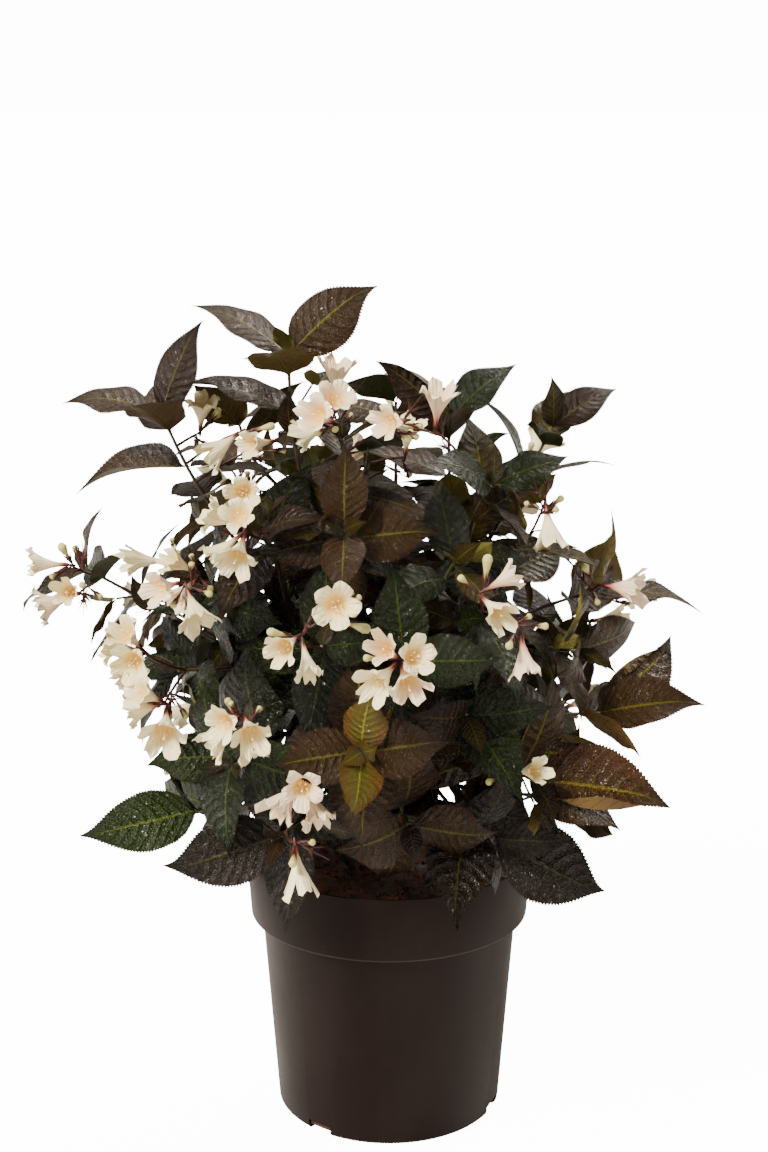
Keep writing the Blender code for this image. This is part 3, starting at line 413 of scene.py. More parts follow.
# The wood of the plant: a short flared stem, five canes that stand on it, and the boughs
# that fork from the canes. The bark is thin and grey-brown, cracked along the grain, with a
# slight swelling at each old leaf joint.
STEM_HEIGHT = 0.024
STEM_TOP_RADIUS = 0.0105
STEM_FLARE_RADIUS = 0.0165
CANE_RING_RADIUS = 0.0066
CANE_FOOT_RADIUS = 0.0035
CANE_TIP_RADIUS = 0.0021
BOUGH_FOOT_RADIUS = 0.0022
BOUGH_TIP_RADIUS = 0.0016
LIMB_POINTS = 6
LIMB_SIDES = 6
LIMB_MARGIN = 0.0006
PATH_POINTS = 24
CANE_BOW = 0.42
BOUGH_BOW = 0.40
BOUGH_RISE = 0.45
BOUGH_SHIFTS = (0.0, 0.012, -0.012, 0.024, -0.024, 0.036, -0.036, 0.05, -0.05, 0.064)
BOUGH_OUTWARD = 0.85
BOUGH_ALONG = 0.75
FORK_LOWEST = 0.022
FORK_FROM_FOOT = 0.014
FORK_FROM_END = 0.012
FORK_ANGLE = math.radians(34.0)
NEAREST_AT = 0.10
CLEARANCE = 0.0003
LEAFY_LENGTH = 0.135
LEAFY_SHARE = 0.62
LEAFY_FOOT = 0.8
STEM_RADIUS = 0.0015
SHOOT_TIP_RADIUS = 0.0010
TWIG_POINTS = 4
TWIG_SIDES = 3
UP = Vector((0.0, 0.0, 1.0))
FACINGS = {
    "front": Vector((0.0, -1.0, 0.15)),
    "front_up": Vector((0.1, -0.8, 0.6)),
    "up": Vector((0.1, -0.2, 1.0)),
    "left": Vector((-1.0, -0.25, 0.1)),
    "left_front": Vector((-0.7, -0.8, 0.05)),
    "left_down": Vector((-0.75, -0.5, -0.5)),
    "right_front": Vector((0.65, -0.75, 0.3)),
    "right": Vector((0.9, -0.5, 0.0)),
    "down": Vector((0.12, -0.25, -1.0)),
    "front_down": Vector((-0.15, -0.8, -0.55)),
}

# Where each cane stands round the stem in degrees, and the mass of shoots that it ends in
CANES = {
    "cane_right": (350.0, "crown_right"),
    "cane_back": (62.0, "crown_back"),
    "cane_centre": (134.0, "crown_centre"),
    "cane_left": (206.0, "crown_left"),
    "cane_front": (278.0, "crown_front"),
}


def shoot(tip, lean, roll=0.0, spread=52.0, leaf=0.072, pairs=5, reach=(), twist=(0, 0)):
    """A leafy shoot: its tip, the way it points there, and how its leaf pairs stand.

    A reaching leaf is given by its own tip and by its turn in degrees about its midrib.
    The twist turns the two leaves of the topmost pair about theirs.
    """
    return {
        "tip": Vector(tip), "lean": Vector(lean).normalized(), "roll": roll,
        "spread": spread, "leaf": leaf, "pairs": pairs, "twist": twist,
        "reach": [(Vector(place[:3]), place[3]) for place in reach],
    }


def bloom(place, facing, count=1):
    """A cluster of open flowers: the middle of their mouths, the way they face, how many."""
    return {"place": Vector(place), "facing": FACINGS[facing].normalized(), "count": count}


# Every mass of shoots, with the tips of its shoots and its clusters of flowers
MASSES = {
    "crown_centre": {
        "shoots": [shoot((-0.067, 0.0, 0.534), (0, 0, 1), 76, 47, 0.081, 6, twist=(-25, 62)),
                   shoot((-0.103, 0.040, 0.480), (-0.2, 0.4, 1), 20, 50, 0.064, 4)],
        "blooms": []},
    "crown_left": {
        "shoots": [shoot((-0.150, -0.020, 0.498), (-0.36, 0, 0.93), 90, 42, 0.074, 6,
                         twist=(-12, 68))],
        "blooms": [bloom((-0.124, 0.0, 0.508), "up"),
                   bloom((-0.117, -0.040, 0.473), "left_down"),
                   bloom((-0.093, -0.045, 0.481), "left_front")]},
    "crown_right": {
        "shoots": [shoot((0.111, 0.020, 0.482), (0.45, 0, 0.89), 90, 20, 0.064, 6,
                         twist=(45, -68))],
        "blooms": []},
    "crown_front": {
        "shoots": [shoot((-0.030, -0.050, 0.485), (0, -0.35, 1), 0, 55, 0.070, 5),
                   shoot((-0.028, -0.105, 0.437), (0, -0.8, 0.5), 90, 60, 0.064, 4)],
        "blooms": [bloom((-0.033, -0.062, 0.517), "front_up"),
                   bloom((-0.063, -0.062, 0.499), "left", 2),
                   bloom((-0.034, -0.012, 0.530), "up"),
                   bloom((-0.007, -0.090, 0.502), "left_front"),
                   bloom((0.013, -0.032, 0.497), "up")]},
    "crown_back": {
        "shoots": [shoot((0.005, 0.095, 0.488), (0, 0.3, 1), 60, 50, 0.072, 6),
                   shoot((-0.045, 0.130, 0.430), (-0.3, 0.8, 0.6), 0, 55, 0.070, 4)]},
    "top_right": {
        "shoots": [shoot((0.040, 0.005, 0.490), (0.1, 0, 1), 90, 42, 0.068, 5,
                         twist=(-60, 45)),
                   shoot((0.066, -0.050, 0.455), (0.45, -0.5, 0.75), 0, 50, 0.066, 4)],
        "blooms": [bloom((0.032, -0.052, 0.518), "up")]},
    "shoulder_right": {
        "shoots": [shoot((0.094, -0.045, 0.424), (0.6, -0.3, 0.75), 0, 50, 0.066, 6)],
        "blooms": [bloom((0.104, -0.060, 0.419), "down")]},
    "far_right": {
        "shoots": [shoot((0.133, -0.012, 0.374), (1, 0, 0.3), 90, 34, 0.070, 5,
                         [(0.209, -0.020, 0.377, 12)]),
                   shoot((0.123, -0.052, 0.345), (0.8, -0.5, 0.2), 0, 50, 0.070, 4)],
        "blooms": [bloom((0.163, -0.060, 0.388), "right")]},
    "low_right": {
        "shoots": [shoot((0.140, -0.055, 0.303), (0.95, -0.2, 0.15), 90, 34, 0.072, 5,
                         [(0.203, -0.070, 0.318, 50), (0.198, -0.020, 0.340, 45)]),
                   shoot((0.093, -0.103, 0.272), (0.8, -0.6, -0.1), 0, 50, 0.088, 4,
                         [(0.182, -0.100, 0.260, 50), (0.163, -0.125, 0.248, 30)])],
        "blooms": [bloom((0.097, -0.130, 0.289), "right_front")]},
    "rim_right": {
        "shoots": [shoot((0.068, -0.100, 0.232), (0.7, -0.7, 0), 0, 45, 0.078, 5,
                         [(0.141, -0.080, 0.181, 45), (0.041, -0.150, 0.200, 0)]),
                   shoot((0.118, -0.035, 0.238), (0.95, -0.2, 0.05), 20, 50, 0.072, 4)],
        "blooms": []},
    "far_left": {
        "shoots": [shoot((-0.203, -0.020, 0.393), (-0.85, -0.1, 0.5), 90, 55, 0.056, 5,
                         [(-0.262, 0.022, 0.364, -6)])],
        "blooms": [bloom((-0.237, -0.044, 0.402), "left"),
                   bloom((-0.224, -0.064, 0.382), "left_front", 2)]},
    "shoulder_left": {
        "shoots": [shoot((-0.125, -0.055, 0.395), (-0.6, -0.5, 0.6), 0, 50, 0.066, 6)],
        "blooms": [bloom((-0.169, -0.060, 0.408), "left"),
                   bloom((-0.141, -0.100, 0.404), "left_front", 2),
                   bloom((-0.135, -0.130, 0.386), "front_down", 2)]},
    "side_left": {
        "shoots": [shoot((-0.137, -0.075, 0.338), (-0.8, -0.5, 0.15), 90, 50, 0.070, 6,
                         [(-0.193, -0.080, 0.360, -35)])],
        "blooms": [bloom((-0.176, -0.118, 0.358), "left_front", 4),
                   bloom((-0.160, -0.140, 0.330), "left_front", 3),
                   bloom((-0.135, -0.150, 0.318), "front_down")]},
    "low_left": {
        "shoots": [shoot((-0.100, -0.120, 0.290), (-0.4, -0.9, 0.1), 90, 55, 0.070, 6)],
        "blooms": [bloom((-0.095, -0.168, 0.313), "front_down", 4)]},
    "rim_left": {
        "shoots": [shoot((-0.128, -0.070, 0.240), (-0.9, -0.3, 0.05), 90, 50, 0.070, 6,
                         [(-0.203, -0.080, 0.223, -50)])],
        "blooms": []},
    "rim_front": {
        "shoots": [shoot((-0.068, -0.130, 0.245), (-0.4, -0.9, 0), 0, 55, 0.068, 6,
                         [(-0.141, -0.130, 0.218, -50), (-0.066, -0.145, 0.187, 0)])],
        "blooms": [bloom((-0.058, -0.178, 0.276), "front_down", 3),
                   bloom((-0.055, -0.170, 0.227), "down")]},
    "front_low": {
        "shoots": [shoot((-0.017, -0.165, 0.313), (0, -0.97, 0.25), 0, 70, 0.062, 6),
                   shoot((0.012, -0.122, 0.250), (0.15, -0.95, -0.05), 0, 58, 0.066, 4)],
        "blooms": []},
    "shoulder_front": {
        "shoots": [shoot((-0.082, -0.080, 0.430), (-0.4, -0.6, 0.7), 0, 50, 0.064, 6)],
        "blooms": [bloom((-0.092, -0.095, 0.459), "front"),
                   bloom((-0.110, -0.112, 0.436), "left_front", 4),
                   bloom((-0.083, -0.125, 0.415), "left_down")]},
    "front_left": {
        "shoots": [shoot((-0.042, -0.130, 0.370), (-0.1, -0.9, 0.4), 0, 55, 0.066, 6)],
        "blooms": [bloom((-0.032, -0.170, 0.405), "front"),
                   bloom((-0.058, -0.188, 0.369), "front_down", 2)]},
    "front_centre": {
        "shoots": [shoot((0.011, -0.150, 0.366), (0.1, -0.9, 0.35), 0, 55, 0.066, 5),
                   shoot((0.040, -0.100, 0.415), (0.2, -0.7, 0.6), 90, 55, 0.066, 4)],
        "blooms": [bloom((0.006, -0.200, 0.377), "front", 4),
                   bloom((0.030, -0.190, 0.360), "right_front")]},
    "front_right": {
        "shoots": [shoot((0.063, -0.115, 0.388), (0.5, -0.8, 0.4), 0, 50, 0.066, 5),
                   shoot((0.048, -0.130, 0.325), (0.4, -0.9, 0.1), 0, 55, 0.074, 4,
                         [(0.083, -0.160, 0.285, 20)])],
        "blooms": [bloom((0.081, -0.150, 0.404), "right", 2),
                   bloom((0.075, -0.160, 0.363), "down")]},
    "back_left": {
        "shoots": [shoot((-0.112, 0.095, 0.437), (-0.5, 0.5, 0.75), 30, 50, 0.070, 6)]},
    "back_right": {
        "shoots": [shoot((0.092, 0.100, 0.430), (0.5, 0.5, 0.7), 60, 50, 0.070, 6)]},
    "side_back_left": {
        "shoots": [shoot((-0.165, 0.070, 0.345), (-0.85, 0.4, 0.35), 70, 50, 0.070, 5),
                   shoot((-0.128, 0.108, 0.268), (-0.7, 0.6, 0), 10, 52, 0.072, 4),
                   shoot((-0.125, 0.030, 0.232), (-0.95, 0.15, -0.05), 40, 52, 0.072, 4)]},
    "side_back_right": {
        "shoots": [shoot((0.150, 0.065, 0.345), (0.85, 0.4, 0.3), 20, 50, 0.070, 5),
                   shoot((0.128, 0.090, 0.265), (0.7, 0.6, 0), 80, 52, 0.072, 4)]},
    "back_middle": {
        "shoots": [shoot((-0.030, 0.162, 0.362), (-0.1, 0.9, 0.35), 40, 52, 0.072, 5),
                   shoot((-0.062, 0.150, 0.278), (-0.4, 0.9, 0), 0, 52, 0.072, 4)]},
    "back_low": {
        "shoots": [shoot((0.055, 0.160, 0.345), (0.4, 0.85, 0.3), 0, 52, 0.072, 5),
                   shoot((0.030, 0.148, 0.262), (0.1, 0.95, -0.05), 50, 52, 0.072, 4),
                   shoot((-0.015, 0.118, 0.228), (-0.2, 0.95, -0.1), 20, 52, 0.070, 4)]},
}


def tube(points, radii, sides):
    """A closed bmesh tube along points, extruded ring by ring from a capped circle."""
    bm = bmesh.new()
    bmesh.ops.create_circle(bm, cap_ends=True, segments=sides, radius=1.0)
    flat = [vert.co.copy() for vert in bm.verts]
    ring = list(bm.verts)
    cap = next(iter(bm.faces))
    side = None
    for number, point in enumerate(points):
        before = points[max(number - 1, 0)]
        after = points[min(number + 1, len(points) - 1)]
        along = (after - before).normalized()
        if side is None:
            side = along.orthogonal().normalized()
        side = (side - along * side.dot(along)).normalized()
        other = along.cross(side)
        if number:
            made = bmesh.ops.extrude_face_region(bm, geom=[cap])["geom"]
            if number > 1:
                bm.faces.remove(cap)
            ring = [item for item in made if isinstance(item, bmesh.types.BMVert)]
            cap = [item for item in made if isinstance(item, bmesh.types.BMFace)][0]
            ring.sort(key=lambda vert: vert.index)
        for vert, spot in zip(ring, flat):
            vert.co = point + (side * spot.x + other * spot.y) * radii[number]
        bm.verts.index_update()
    bmesh.ops.recalc_face_normals(bm, faces=bm.faces)
    return bm


def tapered(first, last, count):
    return [first + (last - first) * i / (count - 1) for i in range(count)]


def bent_path(start, start_way, end, end_way, count, bow):
    """A smooth limb from a start to an end that leaves and arrives in given ways."""
    span = (end - start).length * bow
    return interpolate_bezier(start, start + start_way * span, end - end_way * span, end, count)


def path_lengths(points):
    total = [0.0]
    for a, b in zip(points, points[1:]):
        total.append(total[-1] + (b - a).length)
    return total


def point_at(points, distance):
    """The point and direction at a distance along a path."""
    total = path_lengths(points)
    distance = min(max(distance, 0.0), total[-1])
    for i in range(len(points) - 1):
        if distance <= total[i + 1] or i == len(points) - 2:
            span = points[i + 1] - points[i]
            share = (distance - total[i]) / max(span.length, 1e-9)
            return points[i] + span * share, span.normalized()
    return points[-1], (points[-1] - points[-2]).normalized()


def stretch(points, begin, end, count):
    """Evenly spaced points of a path between two distances along it."""
    return [point_at(points, begin + (end - begin) * i / (count - 1))[0] for i in range(count)]


class Space:
    """The room that placed pieces take up, to keep new ones clear of them."""

    def __init__(self):
        self.pieces = []

    def add(self, bm, owner):
        verts = [vert.co for vert in bm.verts]
        middle = sum(verts, Vector()) / len(verts)
        size = max((co - middle).length for co in verts)
        self.pieces.append((BVHTree.FromBMesh(bm), middle, size, owner))

    def clear(self, bm, ignore=()):
        verts = [vert.co for vert in bm.verts]
        middle = sum(verts, Vector()) / len(verts)
        size = max((co - middle).length for co in verts)
        tree = BVHTree.FromBMesh(bm)
        for other, place, reach, owner in self.pieces:
            if owner in ignore or (place - middle).length > size + reach:
                continue
            if tree.overlap(other):
                return False
        return True


def cane_paths():
    """Each cane with the leafy stem it carries on into, as one smooth limb."""
    paths = {}
    for name, (bearing, mass) in CANES.items():
        angle = math.radians(bearing)
        foot = Vector((math.cos(angle), math.sin(angle), 0.0)) * CANE_RING_RADIUS
        foot.z = SOIL_TOP + STEM_HEIGHT + 2.0 * CLEARANCE
        lead = MASSES[mass]["shoots"][0]
        paths[name] = bent_path(foot, UP, lead["tip"], lead["lean"], PATH_POINTS, CANE_BOW)
    return paths


def bough_path(mass, cane_points, cane_name, space, shift):
    """A bough and its leafy stem, from the side of a cane to the first shoot's tip."""
    lead = MASSES[mass]["shoots"][0]
    tip, lean = lead["tip"], lead["lean"]
    ground = SOIL_TOP + STEM_HEIGHT
    start = tip - lean * LEAFY_LENGTH * LEAFY_FOOT
    height = FORK_LOWEST + BOUGH_RISE * max(start.z - ground, 0.0) + shift
    total = path_lengths(cane_points)[-1] - LEAFY_LENGTH
    distance = min(max(height, FORK_FROM_FOOT), total - FORK_FROM_END)
    base, along = point_at(cane_points, distance)
    outward = Vector((tip.x - base.x, tip.y - base.y, 0.0)).normalized()
    way = (outward * BOUGH_OUTWARD + along * BOUGH_ALONG).normalized()
    angle = way.angle(along)
    if angle < FORK_ANGLE:
        return None
    cane_radius = CANE_FOOT_RADIUS + (CANE_TIP_RADIUS - CANE_FOOT_RADIUS) * distance / total
    offset = cane_radius + CLEARANCE + BOUGH_FOOT_RADIUS * math.cos(angle)
    root = base + way * (offset / math.sin(angle))
    points = bent_path(root, way, tip, lean, PATH_POINTS, BOUGH_BOW)
    fits = True
    for margin, ignore in ((LIMB_MARGIN, (cane_name,)), (0.0, ())):
        solid = tube(points, [BOUGH_FOOT_RADIUS + margin] * len(points), LIMB_SIDES)
        fits = fits and space.clear(solid, ignore)
        solid.free()
    return points if fits else None


def split_limb(points):
    """Cut a limb into its bare part and the leafy stem that goes on from it."""
    total = path_lengths(points)[-1]
    leafy = min(LEAFY_LENGTH, total * LEAFY_SHARE)
    cut = total - leafy
    bare = stretch(points, 0.0, cut - CLEARANCE, LIMB_POINTS)
    stem = stretch(points, cut, total, TWIG_POINTS)
    return bare, stem


def limb_radii(name):
    if name in CANES:
        return tapered(CANE_FOOT_RADIUS, CANE_TIP_RADIUS, LIMB_POINTS)
    return tapered(BOUGH_FOOT_RADIUS, BOUGH_TIP_RADIUS, LIMB_POINTS)


def add_twig(space, points, first, last, owner):
    radii = tapered(first + LIMB_MARGIN, last + LIMB_MARGIN, len(points))
    solid = tube(points, radii, TWIG_SIDES)
    space.add(solid, owner)
    solid.free()


def add_limb(space, name, bare, mass, stem):
    """Take up the room of a bare limb and of the leafy stem that goes on from it."""
    radii = [radius + CLEARANCE * 0.5 for radius in limb_radii(name)]
    solid = tube(bare, radii, LIMB_SIDES)
    space.add(solid, name)
    solid.free()
    add_twig(space, stem, STEM_RADIUS, SHOOT_TIP_RADIUS, mass)


def grow_limbs(space):
    """Place the canes, then the boughs on them, and return bare limbs and leafy stems."""
    bare, stems = {}, {}
    canes = cane_paths()
    for name, points in canes.items():
        mass = CANES[name][1]
        bare[name], stems[mass] = split_limb(points)
        add_limb(space, name, bare[name], mass, stems[mass])
    for mass in MASSES:
        if mass in stems:
            continue
        tip = MASSES[mass]["shoots"][0]["tip"]
        start = tip - MASSES[mass]["shoots"][0]["lean"] * LEAFY_LENGTH
        ranked = sorted(canes, key=lambda name: (
            point_at(canes[name], NEAREST_AT)[0].xy - start.xy).length)
        options = [(name, shift) for name in ranked[:3] for shift in BOUGH_SHIFTS]
        for cane, shift in options:
            points = bough_path(mass, canes[cane], cane, space, shift)
            if points:
                break
        else:
            print("no room for the bough of", mass)
            continue
        name = "bough_" + mass
        bare[name], stems[mass] = split_limb(points)
        add_limb(space, name, bare[name], mass, stems[mass])
    return bare, stems


def smooth_path(points, step):
    """A rounded path through points, with a point about every step."""
    path = []
    for i in range(len(points) - 1):
        here, after = points[i], points[i + 1]
        leave = (after - points[max(i - 1, 0)]) / 6.0
        arrive = (points[min(i + 2, len(points) - 1)] - here) / 6.0
        count = max(int((after - here).length / step), 2)
        path += interpolate_bezier(here, here + leave, after - arrive, after, count + 1)[:-1]
    return path + [points[-1]]


def limb_shape(points, radii, sides, rough, joint_gap, joint_swell):
    """A limb's tube with the grain of its bark raised and a swelling at each leaf joint."""
    swollen = []
    for length, radius in zip(path_lengths(points), radii):
        off = abs((length + joint_gap * 0.4) % joint_gap - joint_gap * 0.5)
        swollen.append(radius * (1.0 + joint_swell * math.exp(-(off / JOINT_REACH) ** 2)))
    bm = tube(points, swollen, sides)
    bm.normal_update()
    for vert in bm.verts:
        fine = Vector((vert.co.x * 1100.0, vert.co.y * 1100.0, vert.co.z * 170.0))
        vert.co += vert.normal * noise.noise(fine) * rough
    last = len(points) - 1

    def uv_at(face, loop):
        ring, corner = divmod(loop.vert.index, sides)
        if len(face.verts) > 4:
            return 0.5, ring / last
        if corner == 0 and max(vert.index % sides for vert in face.verts) == sides - 1:
            corner = sides
        return corner / sides, ring / last

    map_faces(bm, uv_at)
    return shape_of(bm)


JOINT_REACH = 0.0022
BARK_BROWN = (0.028, 0.014, 0.0075, 1.0)
BARK_GREY = (0.095, 0.065, 0.042, 1.0)
BARK_CRACK = (0.010, 0.0054, 0.0036, 1.0)
# Up the stem from under the soil: the height, and how far it flares
STEM_FLARE = ((-0.004, 1.08), (0.0, 1.0), (0.0022, 0.72), (0.005, 0.42), (0.010, 0.12),
              (0.016, 0.02), (0.021, 0.0), (0.0236, -0.18), (0.0245, -0.7))
space = Space()
for name in ("pot", "potting_soil", "stem"):
    bm = bmesh.new()
    bm.from_mesh(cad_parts[name].data)
    space.add(bm, name)
    bm.free()
bare, stems = grow_limbs(space)
wood = Heap()
points = [Vector((0.0, 0.0, SOIL_TOP + height)) for height, _ in STEM_FLARE]
widening = STEM_FLARE_RADIUS - STEM_TOP_RADIUS
bm = tube(points, [STEM_TOP_RADIUS + flare * widening for _, flare in STEM_FLARE], 30)
bm.normal_update()
for vert in bm.verts:
    angle = math.atan2(vert.co.y, vert.co.x)
    low = max(0.0, 1.0 - (vert.co.z - SOIL_TOP) / 0.018)
    push = 0.0013 * low * math.cos(5.0 * angle) + 0.0005 * math.cos(9.0 * angle + 1.0)
    fine = Vector((vert.co.x * 700.0, vert.co.y * 700.0, vert.co.z * 160.0))
    vert.co += vert.normal * (push + 0.0006 * noise.noise(fine))
wood.add(shape_of(bm))
for name, points in bare.items():
    path = smooth_path(points, 0.0035)
    sunk = 0.013 if name in CANES else 0.0032
    path = [path[0] - (path[1] - path[0]).normalized() * sunk] + path
    ends = limb_radii(name)
    wood.add(limb_shape(path, tapered(ends[0], ends[-1], len(path)), 10, 0.00035, 0.031, 0.20))
bark, tree, shader = new_material("bark")
marks = mottled(tree, 260.0, 1500.0, 0.16)
grey = tint(tree, marks["Blotch"], BARK_BROWN, BARK_GREY)
crack = ease(tree, marks["Grain"], 0.34, 0.48)
fill(tree, shader, {"Base Color": tint(tree, crack, BARK_CRACK, grey),
                    "Roughness": calc(tree, "MULTIPLY_ADD", marks["Blotch"], 0.15, 0.68),
                    "Normal": raised(tree, marks["Grain"], 0.9, 0.0004)})
wood.piece("stem_canes_and_boughs", bark, "bark", ["stem", *bare], 60.0, mapped=False)

# The leafy shoots: this year's growth, still soft. Each goes on from a cane or bough, and
# forks; it is brown at its foot, purple-red along its middle and green at its tip, with a
# thickened joint where each pair of leaves stands.
TWIG_BOW = 0.36
SIDE_FORKS = (0.012, 0.022, 0.006, 0.034, 0.046, 0.058)
SIDE_FORK_LEAN = 0.6


def grow_side_shoots(stems, space):
    """Fork each mass's further shoots off its main stem."""
    twigs = {}
    for mass, stem in stems.items():
        twigs[mass] = [(stem, MASSES[mass]["shoots"][0], mass)]
        for number, item in enumerate(MASSES[mass]["shoots"][1:], 1):
            owner = f"{mass}_{number}"
            for distance in SIDE_FORKS:
                root, along = point_at(stem, distance)
                way = (item["tip"] - root).normalized()
                way = (way + along * SIDE_FORK_LEAN).normalized()
                points = bent_path(root, way, item["tip"], item["lean"], TWIG_POINTS + 1,
                                   TWIG_BOW)
                radii = [STEM_RADIUS + LIMB_MARGIN] * TWIG_POINTS
                solid = tube(points[1:], radii, TWIG_SIDES)
                fits = space.clear(solid, ignore=(mass,))
                solid.free()
                if fits:
                    twigs[mass].append((points, item, owner))
                    add_twig(space, points, STEM_RADIUS, SHOOT_TIP_RADIUS, owner)
                    break
            else:
                print("no room for", owner)
    return twigs


SHOOT_BROWN = (0.029, 0.015, 0.008, 1.0)
SHOOT_RED = (0.027, 0.0074, 0.0058, 1.0)
SHOOT_GREEN = (0.046, 0.052, 0.012, 1.0)
SHOOT_STREAK = (0.040, 0.032, 0.010, 1.0)
twigs = grow_side_shoots(stems, space)
shoots = Heap()
for mass, found in twigs.items():
    for number, (points, item, _) in enumerate(found):
        path = smooth_path(points, 0.004)
        if number == 0:
            path = [path[0] - (path[1] - path[0]).normalized() * 0.0015] + path
        radii = tapered(STEM_RADIUS * 1.06, SHOOT_TIP_RADIUS, len(path))
        shoots.add(limb_shape(path, radii, 8, 0.00008, 0.025, 0.28))
shoot_skin, tree, shader = new_material("shoot_skin")
along = mapped_place(tree)[1]
marks = mottled(tree, 180.0, 1300.0, 0.3)
foot = tint(tree, ease(tree, along, 0.05, 0.4), SHOOT_BROWN, SHOOT_RED)
tip = tint(tree, ease(tree, along, 0.55, 0.98), foot, SHOOT_GREEN)
streak = times(tree, marks["Blotch"], 0.35)
fill(tree, shader, {"Base Color": tint(tree, streak, tip, SHOOT_STREAK),
                    "Roughness": calc(tree, "MULTIPLY_ADD", marks["Blotch"], 0.12, 0.42),
                    "Normal": raised(tree, marks["Grain"], 0.4, 0.0002)})
shoots.piece("leafy_shoots", shoot_skin, "foliage", list(MASSES), 60.0)

# The flowers open in clusters on thin dark red stalks from the leaf joints. Each has a slim
# ovary, a calyx of five narrow sepals, and a petal tube that runs from rosy red to cream and
# parts into five rounded lobes round a warm yellow throat.
FLOWER_LENGTH = 0.033
FLOWER_RADIUS = 0.0148
THROAT_RADIUS = 0.0042
THROAT_AT = 0.62
MOUTH_FLOOR = 0.80
FLOWER_MARGIN = 0.0004
FLOWER_FAN = (26.0, 50.0)
FLOWER_STRAY = 0.30
FLOWER_SIZES = (0.80, 0.98)
PEDUNCLE_RADIUS = 0.0011
STALK_TRIES = 12
STALK_SHIFT = 0.0022
STALK_ROOTS = 4
STALK_LEAST = 0.006
STALK_SUNK = 0.003
HUB_BACK = 0.031
RULE_CLUSTERS = 2
RULE_REACH = 0.052
CROWN_MIDDLE = Vector((-0.01, 0.0, 0.30))
LOBES = 5
LOBE_COLUMNS = 6
PETAL_ROWS = 9
LOBE_START = 0.555
TUBE_FOOT = 0.0062
PETAL_THICKNESS = 0.00035
ROSY_MASSES = ("crown_front", "top_right", "front_centre", "front_right", "back_middle",
               "crown_back")
THROAT_FLOOR = 0.36
THROAT_DEPTH = 0.0112
# Along a petal: its place, then radius and height of a wide open flower and of a trumpet
PETAL_LINE = ((0.00, 0.0013, 0.0000, 0.0013, 0.0000),
              (0.14, 0.0017, 0.0040, 0.0017, 0.0045),
              (0.30, 0.0032, 0.0090, 0.0026, 0.0105),
              (0.45, 0.0060, 0.0138, 0.0046, 0.0165),
              (0.58, 0.0086, 0.0182, 0.0068, 0.0216),
              (0.72, 0.0112, 0.0224, 0.0086, 0.0256),
              (0.86, 0.0142, 0.0256, 0.0104, 0.0290),
              (1.00, 0.0170, 0.0268, 0.0128, 0.0312))


def flower_solid(flower, swell=0.0):
    """An open flower: a funnel of five sides, hollowed at its mouth."""
    bm = bmesh.new()
    bmesh.ops.create_uvsphere(bm, u_segments=5, v_segments=3, radius=1.0)
    way, root = flower["way"], flower["root"]
    side = way.orthogonal().normalized()
    other = way.cross(side)
    size = flower["size"]
    for vert in bm.verts:
        angle = math.atan2(vert.co.y, vert.co.x) + flower["turn"]
        if vert.co.z > 0.9:
            reach, radius = 0.0, 0.0
        elif vert.co.z > 0.0:
            reach, radius = THROAT_AT, THROAT_RADIUS + swell
        elif vert.co.z > -0.9:
            reach, radius = 1.0, FLOWER_RADIUS + swell
        else:
            reach, radius = MOUTH_FLOOR, 0.0
        spot = side * math.cos(angle) + other * math.sin(angle)
        vert.co = root + (way * reach * FLOWER_LENGTH + spot * radius) * size
    bmesh.ops.recalc_face_normals(bm, faces=bm.faces)
    return bm


def spread_ways(facing, count, rng):
    """The ways that a cluster's flowers point, fanned round the way it faces."""
    side = facing.orthogonal().normalized()
    ways = []
    start = rng.uniform(0.0, math.tau)
    for i in range(count):
        lean = 0.0 if count == 1 else math.radians(rng.uniform(*FLOWER_FAN))
        turn = start + math.tau * i / count + rng.uniform(-FLOWER_STRAY, FLOWER_STRAY)
        away = Matrix.Rotation(turn, 3, facing) @ side
        ways.append((facing * math.cos(lean) + away * math.sin(lean)).normalized())
    return ways


def spots_on_twigs(twigs, place):
    """Spots along a mass's stems, the nearest to a place first."""
    spots = []
    for points, _, owner in twigs:
        total = path_lengths(points)[-1]
        for i in range(9):
            spot, _ = point_at(points, total * (0.12 + 0.8 * i / 8.0))
            spots.append(((spot - place).length, spot, owner))
    spots.sort(key=lambda item: item[0])
    return spots


def rule_blooms(mass, twigs, rng):
    """Clusters for a mass that names none: one or two off each shoot, facing outwards."""
    blooms = []
    for points, item, _ in twigs:
        for i in range(RULE_CLUSTERS):
            total = path_lengths(points)[-1]
            spot, along = point_at(points, total * rng.uniform(0.55, 0.95))
            out = (spot - CROWN_MIDDLE).normalized()
            side = Matrix.Rotation(rng.uniform(-1.0, 1.0), 3, along) @ out
            place = spot + (side * 0.7 + out * 0.5).normalized() * RULE_REACH
            facing = (out * 0.8 + side * 0.5 + UP * rng.uniform(-0.3, 0.4)).normalized()
            blooms.append({"place": place, "facing": facing, "count": rng.choice((1, 2, 2, 3))})
    return blooms


def hang_stalk(item, twigs, space, rng):
    """Find a clear straight stalk from a stem to the hub of a cluster."""
    for attempt in range(STALK_TRIES):
        shift = Vector((rng.uniform(-1, 1), rng.uniform(-1, 1), rng.uniform(-1, 1)))
        hub = item["place"] - item["facing"] * HUB_BACK
        hub = hub + shift * STALK_SHIFT * attempt
        gap, root, owner = spots_on_twigs(twigs, hub)[attempt % STALK_ROOTS]
        if gap < STALK_LEAST:
            continue
        end = hub + item["facing"] * STALK_SUNK
        radii = [PEDUNCLE_RADIUS + LIMB_MARGIN] * 2
        solid = tube([root.lerp(end, 0.2), end], radii, TWIG_SIDES)
        fits = space.clear(solid, ignore=(owner,))
        solid.free()
        if fits:
            return [root, end], hub
    return None, None


